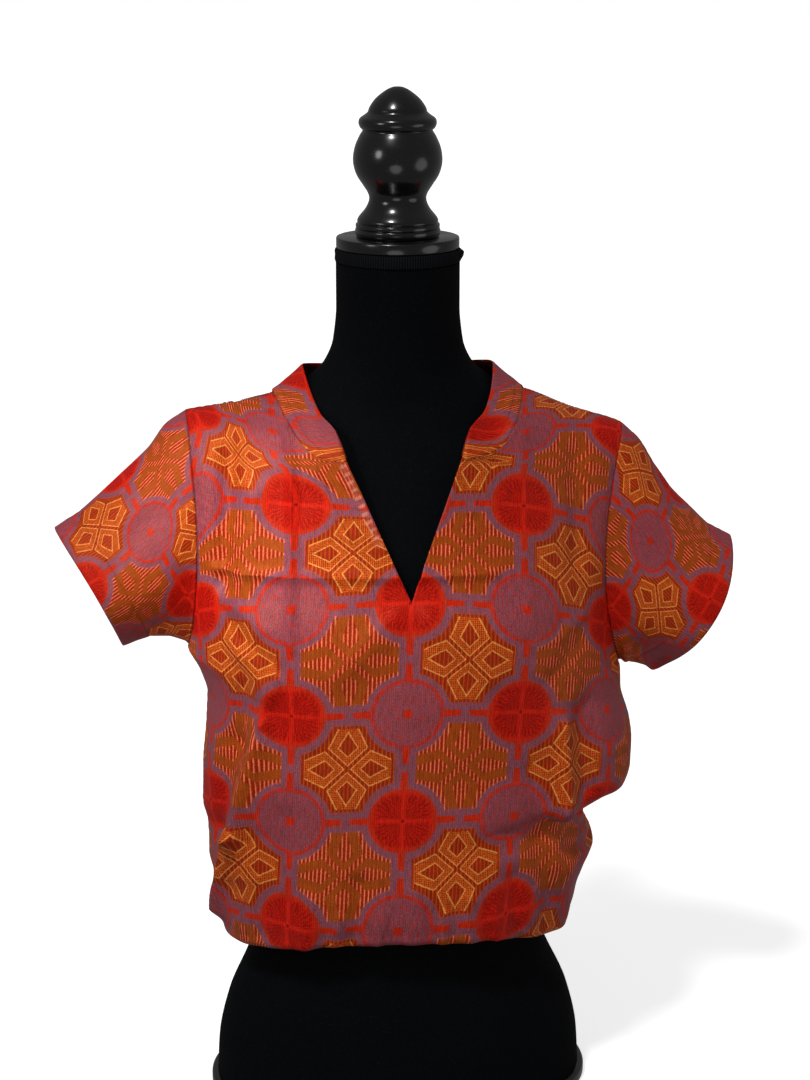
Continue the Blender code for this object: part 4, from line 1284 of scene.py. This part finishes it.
def addNeckParts():
    n = neckParts
    edge, low, high = n["trimRadius"], n["trimLow"], n["trimHigh"]
    trim = turnPiece("neck_band", [
        (0, low), (edge - 1.5, low), (edge - 0.4, low + 0.6), (edge, low + 2),
        (edge - 0.3, (low + high) / 2), (edge, high - 2), (edge - 0.4, high - 0.6),
        (edge - 1.5, high), (0, high)], finishes["ribbed"], 192)
    at, level, reach, spread, tall = n["gather"]
    for corner in trim.data.vertices:
        x, y, z = corner.co / mm
        turn = atan2(y, x)
        if hypot(x, y) > n["gatherFrom"]:
            swell = reach * exp(-((degrees(turn) - at) / spread) ** 2 - ((z - level) / tall) ** 2)
            corner.co += Vector((cos(turn), sin(turn), 0)) * swell * mm
    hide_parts("form_neck_trim")
    edge, low, high = n["discRadius"], n["discLow"], n["discHigh"]
    disc = turnPiece("neck_disc", [
        (0, low), (edge - 1.2, low), (edge - 0.35, low + 0.35), (edge, low + 1.2), (edge, high - 1.2),
        (edge - 0.35, high - 0.35), (edge - 1.2, high), (0, high)], finishes["lacquer"], 128, 50)
    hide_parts("form_disc")
    rise = n["discHigh"]
    profile = smoothProfile([(r, rise + z) for r, z in n["finial"]])
    finial = turnPiece("finial", [(0, profile[0][1])] + profile + [(0, rise + n["finialTop"])],
                       finishes["lacquer"], 128, 70)
    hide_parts("form_finial")


addTorso()
addBoard()
addNeckParts()
print("dress form made")


room = {
    "floor": 40.0,
    "floorTint": "f4f4f4",
    "world": 0.18,
    "floorGlow": 0.7,
    # name: place, size, watts, tint
    "lamps": {
        "window": ((-1.7, -1.1, 1.35), 0.6, 5.0, (1.0, 0.99, 0.97)),
        "fill": ((1.9, -1.2, 0.35), 1.4, 5.0, (1.0, 0.97, 0.95)),
        "bounce": ((-0.3, -1.6, 0.06), 0.9, 2.4, (1.0, 0.97, 0.95)),
    },
    # a soft box on the chest: place, aim, watts, cone in degrees, size
    "softBox": ((-1.0, -1.25, 1.35), (-0.16, -0.1, 0.55), 96.0, 11.0, 0.1),
    # broad daylight from high on the left: direction it comes from, strength, softness in degrees
    "daylight": ((-0.3, -0.46, 0.83), 1.4, 8.0),
    "aim": (0, 0, 0.45),
}


def addLight(name, kind, place, aim):
    lamp = bpy.data.objects.new(name, bpy.data.lights.new(name, kind))
    lamp.visible_camera = False
    lamp.location = place
    lamp.rotation_euler = (Vector(aim) - Vector(place)).to_track_quat("-Z", "Y").to_euler()
    bpy.context.scene.collection.objects.link(lamp)
    return lamp.data


def addRoom():
    r = room
    ground = bmesh.new()
    bmesh.ops.create_grid(ground, x_segments=4, y_segments=4, size=r["floor"] / 2)
    floor = bpy.data.objects.new("floor", bpy.data.meshes.new("floor"))
    ground.to_mesh(floor.data)
    ground.free()
    bpy.context.scene.collection.objects.link(floor)
    material, tree, shader = newMaterial("pale floor", 0.9)
    feed(shader, {"Base Color": fromHex(r["floorTint"]), "Emission Color": (1, 1, 1, 1),
                  "Emission Strength": r["floorGlow"]})
    floor.data.materials.append(material)
    floor.visible_diffuse = floor.visible_glossy = False  # no bounce up into the cloth
    world = bpy.data.worlds.new("studio")
    world.use_nodes = True
    # the camera sees a white studio, while the cloth gets only its soft light
    tree = world.node_tree
    dim = tree.nodes["Background"]
    feed(dim, {"Color": (1, 1, 1, 1), "Strength": r["world"]})
    white = addNode(tree, "ShaderNodeBackground", {"Color": (1, 1, 1, 1), "Strength": 1.0})
    seen = wire(addNode(tree, "ShaderNodeLightPath"), "Is Camera Ray")
    mixed = addNode(tree, "ShaderNodeMixShader", {0: seen, 1: wire(dim), 2: wire(white)})
    feed(tree.nodes["World Output"], {"Surface": wire(mixed)})
    bpy.context.scene.world = world
    for name, (place, size, watts, tint) in r["lamps"].items():
        lamp = addLight(name, "AREA", place, r["aim"])
        lamp.shape, lamp.size, lamp.energy, lamp.color = "DISK", size, watts, tint
    place, aim, watts, cone, size = r["softBox"]
    box = addLight("soft box", "SPOT", place, aim)
    box.energy, box.spot_size, box.spot_blend, box.shadow_soft_size = watts, radians(cone), 1.0, size
    towards, strength, softness = r["daylight"]
    sun = bpy.data.objects.new("daylight", bpy.data.lights.new("daylight", "SUN"))
    sun.data.energy, sun.data.angle = strength, radians(softness)
    sun.rotation_euler = Vector(towards).to_track_quat("Z", "Y").to_euler()
    bpy.context.scene.collection.objects.link(sun)
    bpy.context.scene.view_settings.view_transform = "Standard"


addRoom()
print("room and lights set")
